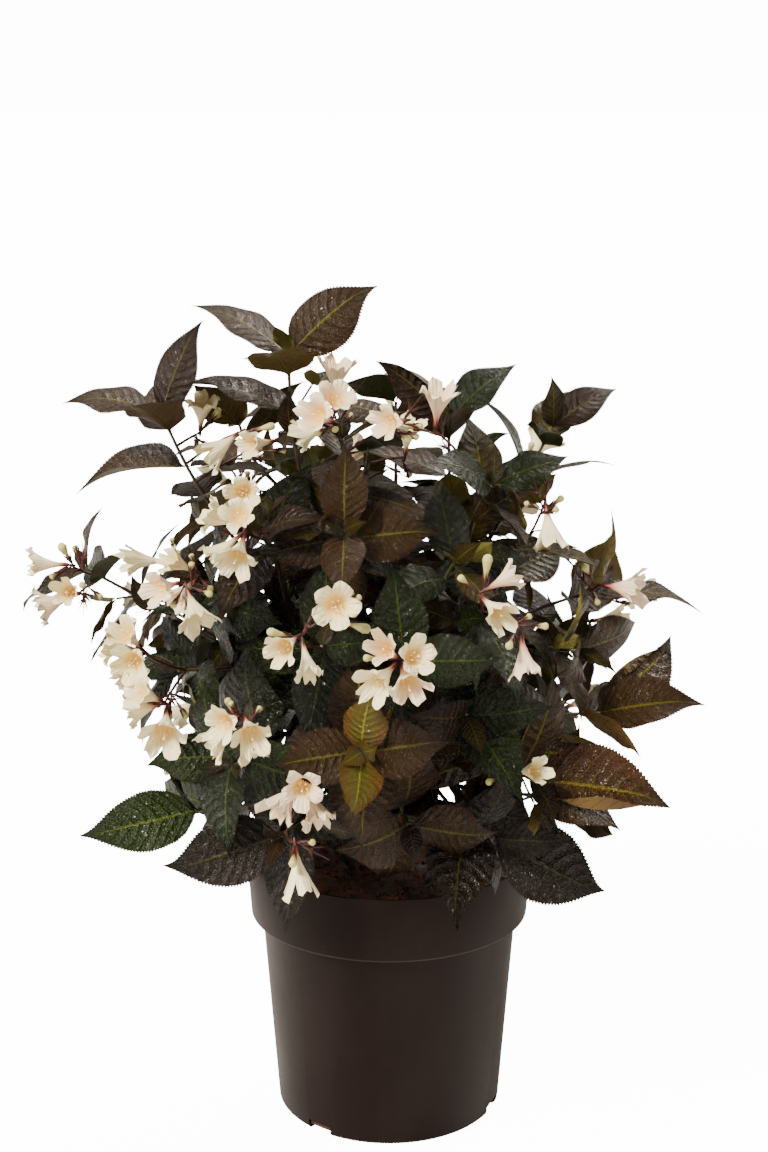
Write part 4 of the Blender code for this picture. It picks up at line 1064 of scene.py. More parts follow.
def grow_flowers(twigs, space):
    """Hang each cluster on a stalk from the nearest stem, clear of all else."""
    stalks, flowers = {}, {}
    for mass in twigs:
        rng = random.Random("flowers " + mass)
        stalks[mass], flowers[mass] = [], []
        blooms = MASSES[mass].get("blooms")
        if blooms is None:
            blooms = rule_blooms(mass, twigs[mass], rng)
        for number, item in enumerate(blooms):
            label = f"{mass}_stalk_{number}"
            stalk, hub = hang_stalk(item, twigs[mass], space, rng)
            if not stalk:
                print("no room for", label)
                continue
            open_flowers = 0
            for way in spread_ways(item["facing"], item["count"], rng):
                flower = {"root": hub, "way": way, "turn": rng.uniform(0.0, 1.2),
                          "size": rng.uniform(*FLOWER_SIZES)}
                solid = flower_solid(flower, FLOWER_MARGIN)
                if space.clear(solid, ignore=(f"{label}_flowers",)):
                    flowers[mass].append(flower)
                    space.add(solid, f"{label}_flowers")
                    open_flowers += 1
                solid.free()
            if open_flowers:
                stalks[mass].append(stalk)
                add_twig(space, stalk, PEDUNCLE_RADIUS, PEDUNCLE_RADIUS, label)
    return stalks, flowers


def way_matrix(root, way, turn, size):
    """The place of a shape that stands on a root and points a way."""
    side = way.orthogonal().normalized()
    turned = Matrix((side, way.cross(side), way)).transposed().to_4x4()
    return (Matrix.Translation(root) @ turned @ Matrix.Rotation(turn, 4, "Z")
            @ Matrix.Scale(size, 4))


def second_skin(bm):
    """Copy all faces as a skin that looks the other way, and return the copied points."""
    copied = bmesh.ops.duplicate(bm, geom=bm.verts[:] + bm.edges[:] + bm.faces[:])["geom"]
    faces = [item for item in copied if isinstance(item, bmesh.types.BMFace)]
    bmesh.ops.reverse_faces(bm, faces=faces)
    for face in faces:
        face.material_index = 1
    return {item for item in copied if isinstance(item, bmesh.types.BMVert)}


# How far each lobe tilts, ruffles, frills, curls, creases, cups and slants, in metres, and
# how far it swings in or out and round, as a share
LOBE_TILT = 0.0034
LOBE_RUFFLE = 0.0021
LOBE_FRILL = 0.0012
LOBE_CURL = 0.0042
LOBE_CREASE = 0.0012
LOBE_CUP = 0.0022
LOBE_SLANT = 0.0009
LOBE_WAVE = 0.0008
LOBE_SWING = 0.13
LOBE_TURN = 0.06


def corolla(openness, seed):
    """A flower's petals: a funnel of two skins that parts into five overlapping lobes."""
    rng = random.Random(seed)
    sector = math.tau / LOBES
    bm = spun([(1.0, i / PETAL_ROWS) for i in range(PETAL_ROWS + 1)], LOBES * LOBE_COLUMNS)
    second_skin(bm)

    def lobe_of(face):
        middle = face.calc_center_median()
        return int((math.atan2(middle.y, middle.x) % math.tau) / sector)

    def across_lobe(vert, lobe):
        angle = math.atan2(vert.co.y, vert.co.x) - (lobe + 0.5) * sector
        return ((angle + math.pi) % math.tau - math.pi) / sector

    def uv_at(face, loop):
        part = across_lobe(loop.vert, lobe_of(face)) + 0.5
        return 0.01 + 0.48 * part + 0.5 * face.material_index, 0.01 + 0.98 * loop.vert.co.z

    map_faces(bm, uv_at)
    seams = [edge for edge in bm.edges if edge.calc_length() < 1.5 / PETAL_ROWS
             and abs(edge.verts[0].co.z - edge.verts[1].co.z) > 0.01
             and min(vert.co.z for vert in edge.verts) > LOBE_START - 0.001
             and len({lobe_of(face) for face in edge.link_faces}) == 2]
    bmesh.ops.split_edges(bm, edges=seams)
    line = np.array(PETAL_LINE)
    spans = ((-1.0, 1.0), (-1.0, 1.0), (0.0, math.tau), (-0.4, 1.0), (-1.0, 1.0))
    tilts, swings, ruffles, cups, curls = [[rng.uniform(*span) for _ in range(LOBES)]
                                           for span in spans]
    blunt, overlap = rng.uniform(1.9, 2.6), rng.uniform(0.08, 0.34)
    for vert in bm.verts:
        along, lobe = vert.co.z, lobe_of(vert.link_faces[0])
        across = across_lobe(vert, lobe) * 2.0
        full = (1.0 - min(abs(across), 1.0) ** blunt) ** 0.62
        reach = along
        if along > LOBE_START:
            reach = LOBE_START + (along - LOBE_START) * (0.20 + 0.80 * full)
        out = max(0.0, (reach - LOBE_START) / (1.0 - LOBE_START))
        wide, slim = [(np.interp(reach, line[:, 0], line[:, i]),
                       np.interp(reach, line[:, 0], line[:, i + 1])) for i in (1, 3)]
        radius = slim[0] + (wide[0] - slim[0]) * openness
        height = slim[1] + (wide[1] - slim[1]) * openness
        height += LOBE_TILT * tilts[lobe] * out
        height += LOBE_RUFFLE * math.sin(6.0 * across + ruffles[lobe]) * out * out
        height += LOBE_FRILL * math.sin(11.0 * across + 2.0 * ruffles[lobe] + 6.0 * out) * out
        height += LOBE_CURL * curls[lobe] * (out * full) ** 3
        height -= LOBE_CREASE * math.exp(-(across * 5.0) ** 2) * out
        height += LOBE_CUP * out * cups[lobe] * (across * across - 0.3)
        height += LOBE_SLANT * out * across
        radius *= 1.0 + LOBE_SWING * swings[lobe] * out * full
        radius -= LOBE_WAVE * out * math.sin(5.0 * across + ruffles[lobe])
        broad = 1.0 + overlap * math.sin(math.pi * min(out * 1.2, 1.0))
        turn = (lobe + 0.5 + 0.5 * across * broad) * sector + LOBE_TURN * swings[lobe] * out
        side_edge = along > LOBE_START and abs(across) > 0.999
        if vert.link_faces[0].material_index and 0.0 < along < 0.999 and not side_edge:
            radius = max(radius - PETAL_THICKNESS, 0.0004)
            height += PETAL_THICKNESS * out
            if along < THROAT_FLOOR:
                radius *= along / THROAT_FLOOR
                height = THROAT_DEPTH
        vert.co = (radius * math.cos(turn), radius * math.sin(turn), TUBE_FOOT + height)
    bmesh.ops.remove_doubles(bm, verts=bm.verts, dist=0.000002)
    return shape_of(bm)


def calyx(spread):
    """The slim ovary and the five narrow sepals round the foot of a flower."""
    bm = spun([(0.0, -0.0006), (0.0008, 0.0), (0.0012, 0.0022), (0.0011, 0.0050),
               (0.0016, 0.0064), (0.0, 0.0068)], 8)
    flat = Matrix.Translation((0.0, 0.0, 0.0030)) @ Matrix.Diagonal((0.5, 1.0, 1.0, 1.0))
    stand = Matrix.Translation((0.0016, 0.0, 0.0062)) @ Matrix.Rotation(spread, 4, "Y") @ flat
    for i in range(5):
        turn = Matrix.Rotation(math.tau * i / 5.0, 4, "Z")
        bmesh.ops.create_cone(bm, cap_ends=True, segments=4, radius1=0.0010, radius2=0.0001,
                              depth=0.0072, matrix=turn @ stand)
    return shape_of(bm)


def heart(openness):
    """The style with its round tip, and the five stamens that stand in the throat."""
    bm = bmesh.new()
    top = 0.0325 - 0.001 * openness
    bmesh.ops.create_cone(bm, cap_ends=True, segments=4, radius1=0.0003, radius2=0.0003,
                          depth=0.020, matrix=Matrix.Translation((0.0006, 0.0, top - 0.010)))
    bmesh.ops.create_icosphere(bm, subdivisions=1, radius=0.0010,
                               matrix=Matrix.Translation((0.0006, 0.0, top)))
    for i in range(5):
        angle = math.tau * (i + 0.5) / 5.0
        spot = Vector((0.0033 * math.cos(angle), 0.0033 * math.sin(angle), 0.0242))
        stand = Matrix.Translation(spot) @ Matrix.Diagonal((0.0007, 0.0007, 0.0020, 1.0))
        bmesh.ops.create_icosphere(bm, subdivisions=1, radius=1.0, matrix=stand)
    return shape_of(bm)


def bud(length, girth):
    """A closed bud: a club that swells towards its tip, above its own ovary."""
    profile = [(0.0, 0.0), (0.30, 0.02), (0.42, 0.30), (0.80, 0.62), (1.0, 0.80),
               (0.82, 0.93), (0.40, 0.995), (0.0, 1.0)]
    bm = spun([(girth * wide, TUBE_FOOT + length * high) for wide, high in profile], 8)
    map_faces(bm, lambda _, loop: (0.5, min(max((loop.vert.co.z - TUBE_FOOT) / length, 0.0), 1.0)))
    return shape_of(bm)


# How wide open the flowers are, from flat open to a narrow trumpet
PETAL_KINDS = (1.0, 0.95, 0.85, 0.8, 0.65, 0.6, 0.45, 0.35, 0.2, 0.05)
# The chance that a flower is a blushing one, in the rosy masses and in the others
BLUSH_SHARES = (0.65, 0.12)
stalks, flowers = grow_flowers(twigs, space)
corollas = [corolla(openness, f"corolla {number}")
            for number, openness in enumerate(PETAL_KINDS)]
hearts = [heart(1.0), heart(0.4)]
calyx_open, calyx_spent = calyx(0.16), calyx(0.62)
buds = [bud(0.0070, 0.0022), bud(0.0110, 0.0026), bud(0.0170, 0.0032)]
fresh, blush, stamens, bud_heap, red_stalks = Heap(), Heap(), Heap(), Heap(), Heap()


def red_stem(points, first, last):
    """Add one thin tapering stalk."""
    red_stalks.add(shape_of(tube(points, tapered(first, last, len(points)), 6)))


def takes_room(solid, label, ignore=()):
    """Whether a solid stands clear of the others, which it then joins."""
    fits = space.clear(solid, ignore=ignore)
    if fits:
        space.add(solid, label)
    solid.free()
    return fits


for mass, found in flowers.items():
    rng = random.Random("petals " + mass)
    for root, end in stalks[mass]:
        bend = (end - root).orthogonal().normalized() * (end - root).length * 0.05
        red_stem([root, root.lerp(end, 0.35) + bend, root.lerp(end, 0.7) + bend, end],
                 0.0010, 0.0008)
    for flower in found:
        matrix = way_matrix(flower["root"], flower["way"], flower["turn"], flower["size"])
        kind = rng.randrange(len(PETAL_KINDS))
        matrix = matrix @ Matrix.Diagonal((rng.uniform(0.84, 1.0), rng.uniform(0.84, 1.0),
                                           rng.uniform(0.94, 1.04), 1.0))
        petals = blush if rng.random() < BLUSH_SHARES[mass not in ROSY_MASSES] else fresh
        petals.add(corollas[kind], matrix)
        stamens.add(hearts[0] if PETAL_KINDS[kind] > 0.6 else hearts[1], matrix)
        red_stalks.add(calyx_open, matrix)

# Beside the open flowers stand buds, pale green when small and cream when full, and the
# bare calyxes of flowers that have dropped.
BUD_SPREAD = (0.45, 1.25)
# How often each of the three sizes of bud comes, and last a bare calyx, and how far each reaches
BUD_SHARES = (5, 4, 1, 4)
BUD_REACHES = (0.015, 0.019, 0.0255, 0.011)
BARE_CALYX = 3
for mass, found in stalks.items():
    rng = random.Random("buds " + mass)
    for root, hub in found:
        facing = (hub - root).normalized()
        for i in range(rng.choice((3, 4, 5, 6))):
            away = Matrix.Rotation(rng.uniform(0.0, math.tau), 3, facing) @ facing.orthogonal()
            lean = rng.uniform(*BUD_SPREAD)
            way = (facing * math.cos(lean) + away.normalized() * math.sin(lean)).normalized()
            start = root.lerp(hub, rng.uniform(0.55, 1.0))
            foot = start + way * rng.uniform(0.003, 0.010)
            kind = rng.choices(range(4), BUD_SHARES)[0]
            size = rng.uniform(0.85, 1.1)
            solid = tube([foot + way * 0.004, foot + way * BUD_REACHES[kind] * size],
                         [0.0028, 0.0036], 5)
            if not takes_room(solid, mass + "_buds"):
                continue
            matrix = way_matrix(foot, way, rng.uniform(0.0, 1.2), size)
            red_stem([start, foot + way * 0.001], 0.0006, 0.0006)
            if kind == BARE_CALYX:
                red_stalks.add(calyx_spent, matrix)
                red_stem([foot + way * 0.006, foot + way * 0.020 * size], 0.0003, 0.0002)
            else:
                red_stalks.add(calyx_open, matrix)
                bud_heap.add(buds[kind], matrix)

# The look of a petal, shared by the fresh flowers, the rosier ones and the buds
PETAL_THROAT = (0.84, 0.53, 0.090, 1.0)
# A darker tan painted as shade in the petals' folds, where their relief sinks
PETAL_FOLD_SHADE = (0.72, 0.42, 0.17, 1.0)
PETAL_LOOKS = (
    (fresh, "fresh_petals", (0.96, 0.86, 0.53, 1.0), (0.40, 0.075, 0.050, 1.0), 0.40),
    (blush, "blushing_petals", (0.95, 0.78, 0.54, 1.0), (0.50, 0.090, 0.070, 1.0), 0.62),
    (bud_heap, "flower_buds", (0.50, 0.47, 0.17, 1.0), (0.32, 0.10, 0.035, 1.0), 0.50))
silk, given, made = new_group(
    "petal_skin", {"Petal": (0.8, 0.7, 0.6, 1.0), "Rosy": (0.5, 0.1, 0.08, 1.0),
                   "Throat": PETAL_THROAT, "Fold shade": PETAL_FOLD_SHADE, "Rosy reach": 0.45},
    ("Color", "Height"))
where = mapped_place(silk)
inside = calc(silk, "GREATER_THAN", where[0], 0.5)
part = calc(silk, "FRACT", times(silk, where[0], 2.0))
across = calc(silk, "ABSOLUTE", calc(silk, "MULTIPLY_ADD", part, 2.0, -1.0))
along = where[1]
crumple = cloud(silk, joined(silk, times(silk, where[0], 9.0), times(silk, along, 1.6)), 3.0, 2.0)
rays = calc(silk, "SINE", calc(silk, "MULTIPLY_ADD", crumple, 7.0, times(silk, across, 20.0)))
rosy = ease(silk, along, 0.04, given["Rosy reach"], 1.0, 0.0)
outer = tint(silk, rosy, given["Petal"], given["Rosy"])
middle_line = times(silk, ease(silk, across, 0.0, 0.30, 1.0, 0.0),
                    ease(silk, along, 0.55, 0.95, 0.30, 0.0))
outer = tint(silk, middle_line, outer, given["Rosy"])
warm = times(silk, ease(silk, along, 0.38, 0.68, 1.0, 0.0), ease(silk, rays, -0.9, 1.0, 0.75, 1.0))
inner = tint(silk, warm, given["Petal"], given["Throat"])
# Painted shade: the folds, where the relief sinks, are darkened towards the fold colour, strongly
# inside and more faintly outside
fold_shade = times(silk, ease(silk, rays, 0.35, 1.0, 0.0, 0.28), ease(silk, along, 0.45, 1.0, 1.0, 0.35))
inner = tint(silk, fold_shade, inner, given["Fold shade"])
outer = tint(silk, times(silk, fold_shade, 0.7), outer, given["Fold shade"])
folded = calc(silk, "MULTIPLY_ADD", crumple, 2.5, times(silk, rays, -0.8))
fill(silk, made, {"Color": tint(silk, inside, outer, inner),
                  "Height": times(silk, folded, ease(silk, along, 0.4, 0.8))})
for heap, name, petal, rosy_red, rosy_reach in PETAL_LOOKS:
    look, tree, shader = new_material(name)
    values = {"Petal": petal, "Rosy": rosy_red, "Throat": PETAL_THROAT, "Fold shade": PETAL_FOLD_SHADE,
              "Rosy reach": rosy_reach}
    skin = add_node(tree, "ShaderNodeGroup", values, node_tree=silk).outputs
    fill(tree, shader, {"Base Color": skin["Color"], "Roughness": 0.5,
                        "Normal": raised(tree, skin["Height"], 0.7, 0.0005),
                        "Subsurface Weight": 0.15, "Subsurface Radius": (0.006, 0.004, 0.0025)})
    heap.piece(name, look, "blossom", sharp=100.0)
pollen, tree, shader = new_material("pollen_and_style")
marks = mottled(tree, 900.0)
fill(tree, shader, {"Roughness": 0.7, "Base Color": tint(
    tree, marks["Blotch"], (0.80, 0.62, 0.26, 1.0), (0.88, 0.80, 0.55, 1.0))})
stamens.piece("stamens_and_styles", pollen, "blossom", mapped=False)
stalk_red, tree, shader = new_material("stalk_red")
marks = mottled(tree, 320.0, 1600.0)
fill(tree, shader, {
    "Base Color": tint(tree, marks["Blotch"], (0.024, 0.0046, 0.0036, 1.0),
                       (0.070, 0.0115, 0.0070, 1.0)),
    "Roughness": calc(tree, "MULTIPLY_ADD", marks["Grain"], 0.2, 0.40)})
red_stalks.piece("flower_stalks_and_calyxes", stalk_red, "foliage", mapped=False)

# The leaves stand in opposite pairs, each pair turned a quarter from the last. A leaf is an
# oval blade with a drawn-out tip and a finely toothed edge, on a short stalk; its side veins
# are sunk, so the glossy upper skin is quilted, and they stand out on the paler underside.
FIRST_INTERNODE = 0.014
INTERNODE = 0.025
TIP_MARGIN = 0.001
FOOT_MARGIN = 0.006
PAIR_SIZES = (0.86, 0.97, 1.0, 1.0, 0.95)
PAIR_OPENING = 10.0
WIDEST_OPENING = 88.0
LEAF_WIDTH = 0.55
LEAF_THICKNESS = 0.024
LEAF_OUTLINE = ((1.0, 0.0), (0.74, 0.70), (0.27, 0.96), (0.0, 0.0))
LEAF_RIDGE = 0.25
LEAF_CURL = 0.45
LEAF_SAGS = (0.07, 0.34)
LEAF_FOLDS = (0.08, 0.38)
AIMED_SAG = 0.5
LEAF_TRIES = 16
LEAF_WOBBLE = 0.05
LEAF_SHRINK = 0.024
LEAF_MARGIN = 0.0006
REACH_STEP = 0.006
REACH_STEPS = 10


def leaf_point(leaf, s, across, lift):
    """A point of the blade: s along it, across in metres, lift off its upper side."""
    along, face = leaf["along"], leaf["face"]
    side = face.cross(along)
    length, sag = leaf["length"], leaf["sag"]
    forward = length * (s - LEAF_CURL * sag * sag * s ** 3)
    fall = length * sag * s * s
    rise = abs(across) * leaf["fold"]
    return leaf["root"] + along * forward + side * across + face * (lift + rise - fall)


def leaf_solid(leaf, swell=0.0):
    """The blade as a flat two sided pyramid on an outline of six corners."""
    bm = bmesh.new()
    bmesh.ops.create_uvsphere(bm, u_segments=6, v_segments=2, radius=1.0)
    thick = leaf["length"] * LEAF_THICKNESS * 0.5 + swell
    for vert in bm.verts:
        if abs(vert.co.z) > 0.5:
            vert.co = leaf_point(leaf, LEAF_RIDGE, 0.0, math.copysign(thick, vert.co.z))
            continue
        angle = math.atan2(vert.co.y, vert.co.x)
        s, share = LEAF_OUTLINE[int(round(abs(angle) / (math.tau / 6.0)))]
        half = (leaf["width"] * 0.5 + swell) * share
        vert.co = leaf_point(leaf, s, math.copysign(half, angle), 0.0)
    bmesh.ops.recalc_face_normals(bm, faces=bm.faces)
    return bm


def pair_frame(along, roll):
    """The way that a pair's first leaf stands out from the stem, turned by roll degrees."""
    level = along.cross(UP)
    if level.length < 0.15:
        level = Vector((0.0, 1.0, 0.0))
        level -= along * level.dot(along)
    return Matrix.Rotation(math.radians(roll), 3, along) @ level.normalized()


def make_leaf(root, along, face, length, rng, aimed):
    """The measures of one leaf; an aimed leaf stands higher, so that its tip sags into line."""
    face = (face - along * face.dot(along)).normalized()
    leaf = {"root": root + along * 0.0001, "along": along, "face": face,
            "length": length, "width": length * LEAF_WIDTH * rng.uniform(0.9, 1.06),
            "sag": rng.uniform(*LEAF_SAGS), "fold": rng.uniform(*LEAF_FOLDS)}
    if aimed:
        sag = leaf["sag"] * AIMED_SAG
        forward = 1.0 - LEAF_CURL * sag * sag
        lift = math.atan2(sag, forward)
        leaf["along"] = along * math.cos(lift) + face * math.sin(lift)
        leaf["face"] = face * math.cos(lift) - along * math.sin(lift)
        leaf["length"] = length / math.hypot(sag, forward)
        leaf["sag"] = sag
    return leaf


def try_leaf(root, along, face, length, rng, space, owner, node, aimed=False):
    """Place a leaf, turning and shortening it until it is clear, or give it up."""
    for attempt in range(LEAF_TRIES):
        turn = Vector((rng.uniform(-1, 1), rng.uniform(-1, 1), rng.uniform(-1, 1)))
        way = (along + turn * LEAF_WOBBLE * attempt).normalized()
        leaf = make_leaf(root, way, face, length * (1.0 - LEAF_SHRINK * attempt), rng, aimed)
        solid = leaf_solid(leaf, LEAF_MARGIN)
        fits = space.clear(solid, ignore=(owner,))
        if fits:
            space.add(solid, node)
        solid.free()
        if fits:
            return leaf
    return None


def reach_leaves(twigs, space):
    """The leaves that draw the crown's outline, each from its shoot to a stated tip."""
    found = {}
    for mass, shoots in twigs.items():
        found[mass] = []
        rng = random.Random("reach " + mass)
        for points, item, owner in shoots:
            total = path_lengths(points)[-1]
            for place, turn in item["reach"]:
                spots = [point_at(points, total - REACH_STEP * (i + 0.67))[0]
                         for i in range(REACH_STEPS)]
                root = min(spots, key=lambda spot: abs((place - spot).length - item["leaf"]))
                way = (place - root).normalized()
                outward = (place - CROWN_MIDDLE).normalized()
                face = UP * 0.9 + outward * 0.35
                face = Matrix.Rotation(math.radians(turn), 3, way) @ face
                length = (place - root).length * 1.01
                leaf = try_leaf(root, way, face, length, rng, space, owner, mass + "_leaf",
                                aimed=True)
                if leaf:
                    found[mass].append(leaf)
                else:
                    print("no room for a reaching leaf of", mass)
    return found


def grow_leaves(twigs, leaves, space):
    """Opposite pairs down each shoot, each pair turned a quarter from the last."""
    missed = 0
    for rank, pair_size in enumerate(PAIR_SIZES):
        for mass, shoots in twigs.items():
            rng = random.Random(f"leaves {mass} {rank}")
            for points, item, owner in shoots:
                total = path_lengths(points)[-1]
                back = TIP_MARGIN + FIRST_INTERNODE * min(rank, 1)
                back += INTERNODE * max(rank - 1, 0)
                if rank >= item["pairs"] or back > total - FOOT_MARGIN:
                    continue
                root, along = point_at(points, total - back)
                side = pair_frame(along, item["roll"] + 90.0 * rank + rng.uniform(-9, 9))
                opening = item["spread"] + PAIR_OPENING * rank
                opening = math.radians(min(opening, WIDEST_OPENING))
                for number, sign in enumerate((1.0, -1.0)):
                    out = side * sign
                    way = along * math.cos(opening) + out * math.sin(opening)
                    face = along * math.sin(opening) - out * math.cos(opening)
                    light = UP * 0.75 + (root - CROWN_MIDDLE).normalized() * 0.4
                    if rank:
                        face = face + light * (0.35 + 0.3 * min(rank, 2))
                        turn = rng.uniform(-28.0, 28.0)
                    else:
                        turn = item["twist"][number] + rng.uniform(-8.0, 8.0)
                    face = Matrix.Rotation(math.radians(turn), 3, way) @ face
                    length = item["leaf"] * pair_size * rng.uniform(0.93, 1.06)
                    leaf = try_leaf(root, way, face, length, rng, space, owner,
                                    mass + "_leaf")
                    if leaf:
                        leaves[mass].append(leaf)
                    else:
                        missed += 1
    print("leaves skipped:", missed)
    return leaves


leaves = grow_leaves(twigs, reach_leaves(twigs, space), space)

# The rule carried on within the same reach: small young leaves at each tip, older pairs at
# the foot of each shoot and on the bare wood, and short twigs with small leaves in the axils
AXIL_STEM = 0.0008
AXIL_ROOM = 0.0018
extra_leaves = []
axils = Heap()


def pair_at(root, along, roll, opening, length, lift, rng, owner, kind):
    """Grow one pair of leaves at a joint, where there is room for them."""
    side = pair_frame(along, roll)
    grown = 0
    for sign in (1.0, -1.0):
        out = side * sign
        way = along * math.cos(opening) + out * math.sin(opening)
        face = along * math.sin(opening) - out * math.cos(opening)
        light = UP * 0.75 + (root - CROWN_MIDDLE).normalized() * 0.4
        tipped = Matrix.Rotation(math.radians(rng.uniform(-26.0, 26.0)), 3, way)
        size = length * rng.uniform(0.9, 1.08)
        leaf = try_leaf(root, way, tipped @ (face + light * lift), size, rng, space, owner, kind)
        if leaf:
            extra_leaves.append((leaf, kind))
            grown += 1
    return grown


for mass, found in twigs.items():
    rng = random.Random("further leaves " + mass)
    for points, item, owner in found:
        total = path_lengths(points)[-1]
        tip, along = point_at(points, total)
        young, opening = (0.68, 0.95) if owner == "front_low" else (0.36, 0.42)
        pair_at(tip, along, item["roll"] + 90.0, opening, item["leaf"] * young, 0.0, rng, owner,
                "young")
        if owner == "front_low":
            pair_at(tip, along, item["roll"] + 20.0, 0.40, 0.020, 0.0, rng, owner, "young")
        for rank in range(5, 7):
            back = TIP_MARGIN + FIRST_INTERNODE + INTERNODE * (rank - 1)
            if back < total - 0.004:
                root, along = point_at(points, total - back)
                pair_at(root, along, item["roll"] + 90.0 * rank, 1.35, item["leaf"] * 0.9, 0.9,
                        rng, owner, "old")
for name, points in bare.items():
    rng = random.Random("old leaves " + name)
    total = path_lengths(points)[-1]
    away = 0.004 + 0.020 * rng.random()
    rank = 0
    while away < total * 0.80:
        root, along = point_at(points, total - away)
        pair_at(root, along, 90.0 * rank + 35.0, 1.30, rng.uniform(0.050, 0.070), 0.8, rng,
                name, "old")
        away += INTERNODE
        rank += 1
for mass, found in twigs.items():
    rng = random.Random("axils " + mass)
    for points, item, owner in found:
        total = path_lengths(points)[-1]
        for rank in range(1, 5):
            back = TIP_MARGIN + FIRST_INTERNODE + INTERNODE * (rank - 1)
            if back > total - FOOT_MARGIN:
                continue
            root, along = point_at(points, total - back)
            side = pair_frame(along, item["roll"] + 90.0 * rank)
            for sign in (1.0, -1.0):
                lean = rng.uniform(0.6, 0.9)
                way = (along * math.cos(lean) + side * sign * math.sin(lean)).normalized()
                end = root + way * rng.uniform(0.010, 0.024)
                label = f"{owner}_axil_{rank}_{sign}"
                solid = tube([root + way * 0.003, end + way * 0.004], [AXIL_ROOM] * 2, 3)
                if not takes_room(solid, label, (owner,)):
                    continue
                small = rng.uniform(0.024, 0.038)
                if pair_at(end, way, rng.uniform(0.0, 180.0), 0.75, small, 0.4, rng, label, "young"):
                    path = [root, root.lerp(end, 0.5) + side * 0.0006, end]
                    bm = tube(path, [AXIL_STEM] * 3, 5)
                    map_faces(bm, lambda face, loop: (0.5, 0.9))
                    axils.add(shape_of(bm))
axils.piece("axil_twigs", shoot_skin, "foliage", sharp=60.0)

# The share of blades with one margin rolled in, so that a strip of their underside shows; a
# large leaf at the lower right always has it
ROLLED_SHARE = 0.03
ROLLED_RIGHT = 0.20
LARGE_LEAF = 0.078
BLADE_ROWS = 14
TEETH_PER_ROW = 3
TOOTH_OUT = 0.028
TOOTH_IN = 0.030
TOOTH_FORWARD = 0.006
BLADE_THICKNESS = 0.00035
MIDRIB_THICKNESS = 0.0005
# Along a blade: the place, and its half width as a share of the widest
BLADE_EDGE = ((0.0, 0.035), (0.035, 0.035), (0.06, 0.12), (0.10, 0.40), (0.16, 0.67), (0.25, 0.89),
              (0.36, 1.0), (0.46, 1.01), (0.56, 0.94), (0.66, 0.79), (0.75, 0.57), (0.83, 0.34),
              (0.90, 0.16), (0.95, 0.07), (1.0, 0.0))


def blade_shape():
    """A flat blade of two skins in its own measures: across, along, and skin."""
    bm = bmesh.new()
    bmesh.ops.create_grid(bm, x_segments=4, y_segments=BLADE_ROWS, size=1.0)
    margin = [edge for edge in bm.edges
              if all(abs(abs(vert.co.x) - 1.0) < 0.001 for vert in edge.verts)
              and abs(edge.verts[0].co.y - edge.verts[1].co.y) > 0.001]
    bmesh.ops.subdivide_edges(bm, edges=margin, cuts=2 * TEETH_PER_ROW - 1)
    bmesh.ops.triangulate(bm, faces=bm.faces)
    low_verts = second_skin(bm)
    for vert in bm.verts:
        across, along = vert.co.x, (vert.co.y + 1.0) * 0.5
        skin = (1.0 - across * across) * min(1.0, along * 12.0) * min(1.0, (1.0 - along) * 9.0)
        vert.co = (across, along, -skin if vert in low_verts else skin * 0.2)
    tips = [vert for vert in bm.verts if vert.co.y > 0.999]
    bmesh.ops.pointmerge(bm, verts=tips, merge_co=(0.0, 1.0, 0.0))
    bmesh.ops.remove_doubles(bm, verts=bm.verts, dist=0.0001)
    map_faces(bm, lambda face, loop: (
        0.25 + 0.5 * face.material_index + 0.24 * loop.vert.co.x, 0.01 + 0.98 * loop.vert.co.y))
    return shape_of(bm)


blade = blade_shape()
blade_across, blade_along, blade_skin = blade[0].T
blade_half = np.interp(blade_along, *np.array(BLADE_EDGE).T)
tooth = np.rint(blade_along * BLADE_ROWS * 2 * TEETH_PER_ROW).astype(int) % 2 == 0
toothed = (np.abs(blade_across) > 0.999) & (blade_along > 0.10) & (blade_along < 0.985)
bite = np.where(tooth, TOOTH_OUT, -TOOTH_IN) * np.minimum(1.0, blade_half * 2.0)
blade_half = np.where(toothed, blade_half + bite, blade_half)
blade_s = np.where(toothed & tooth, blade_along + TOOTH_FORWARD, blade_along)


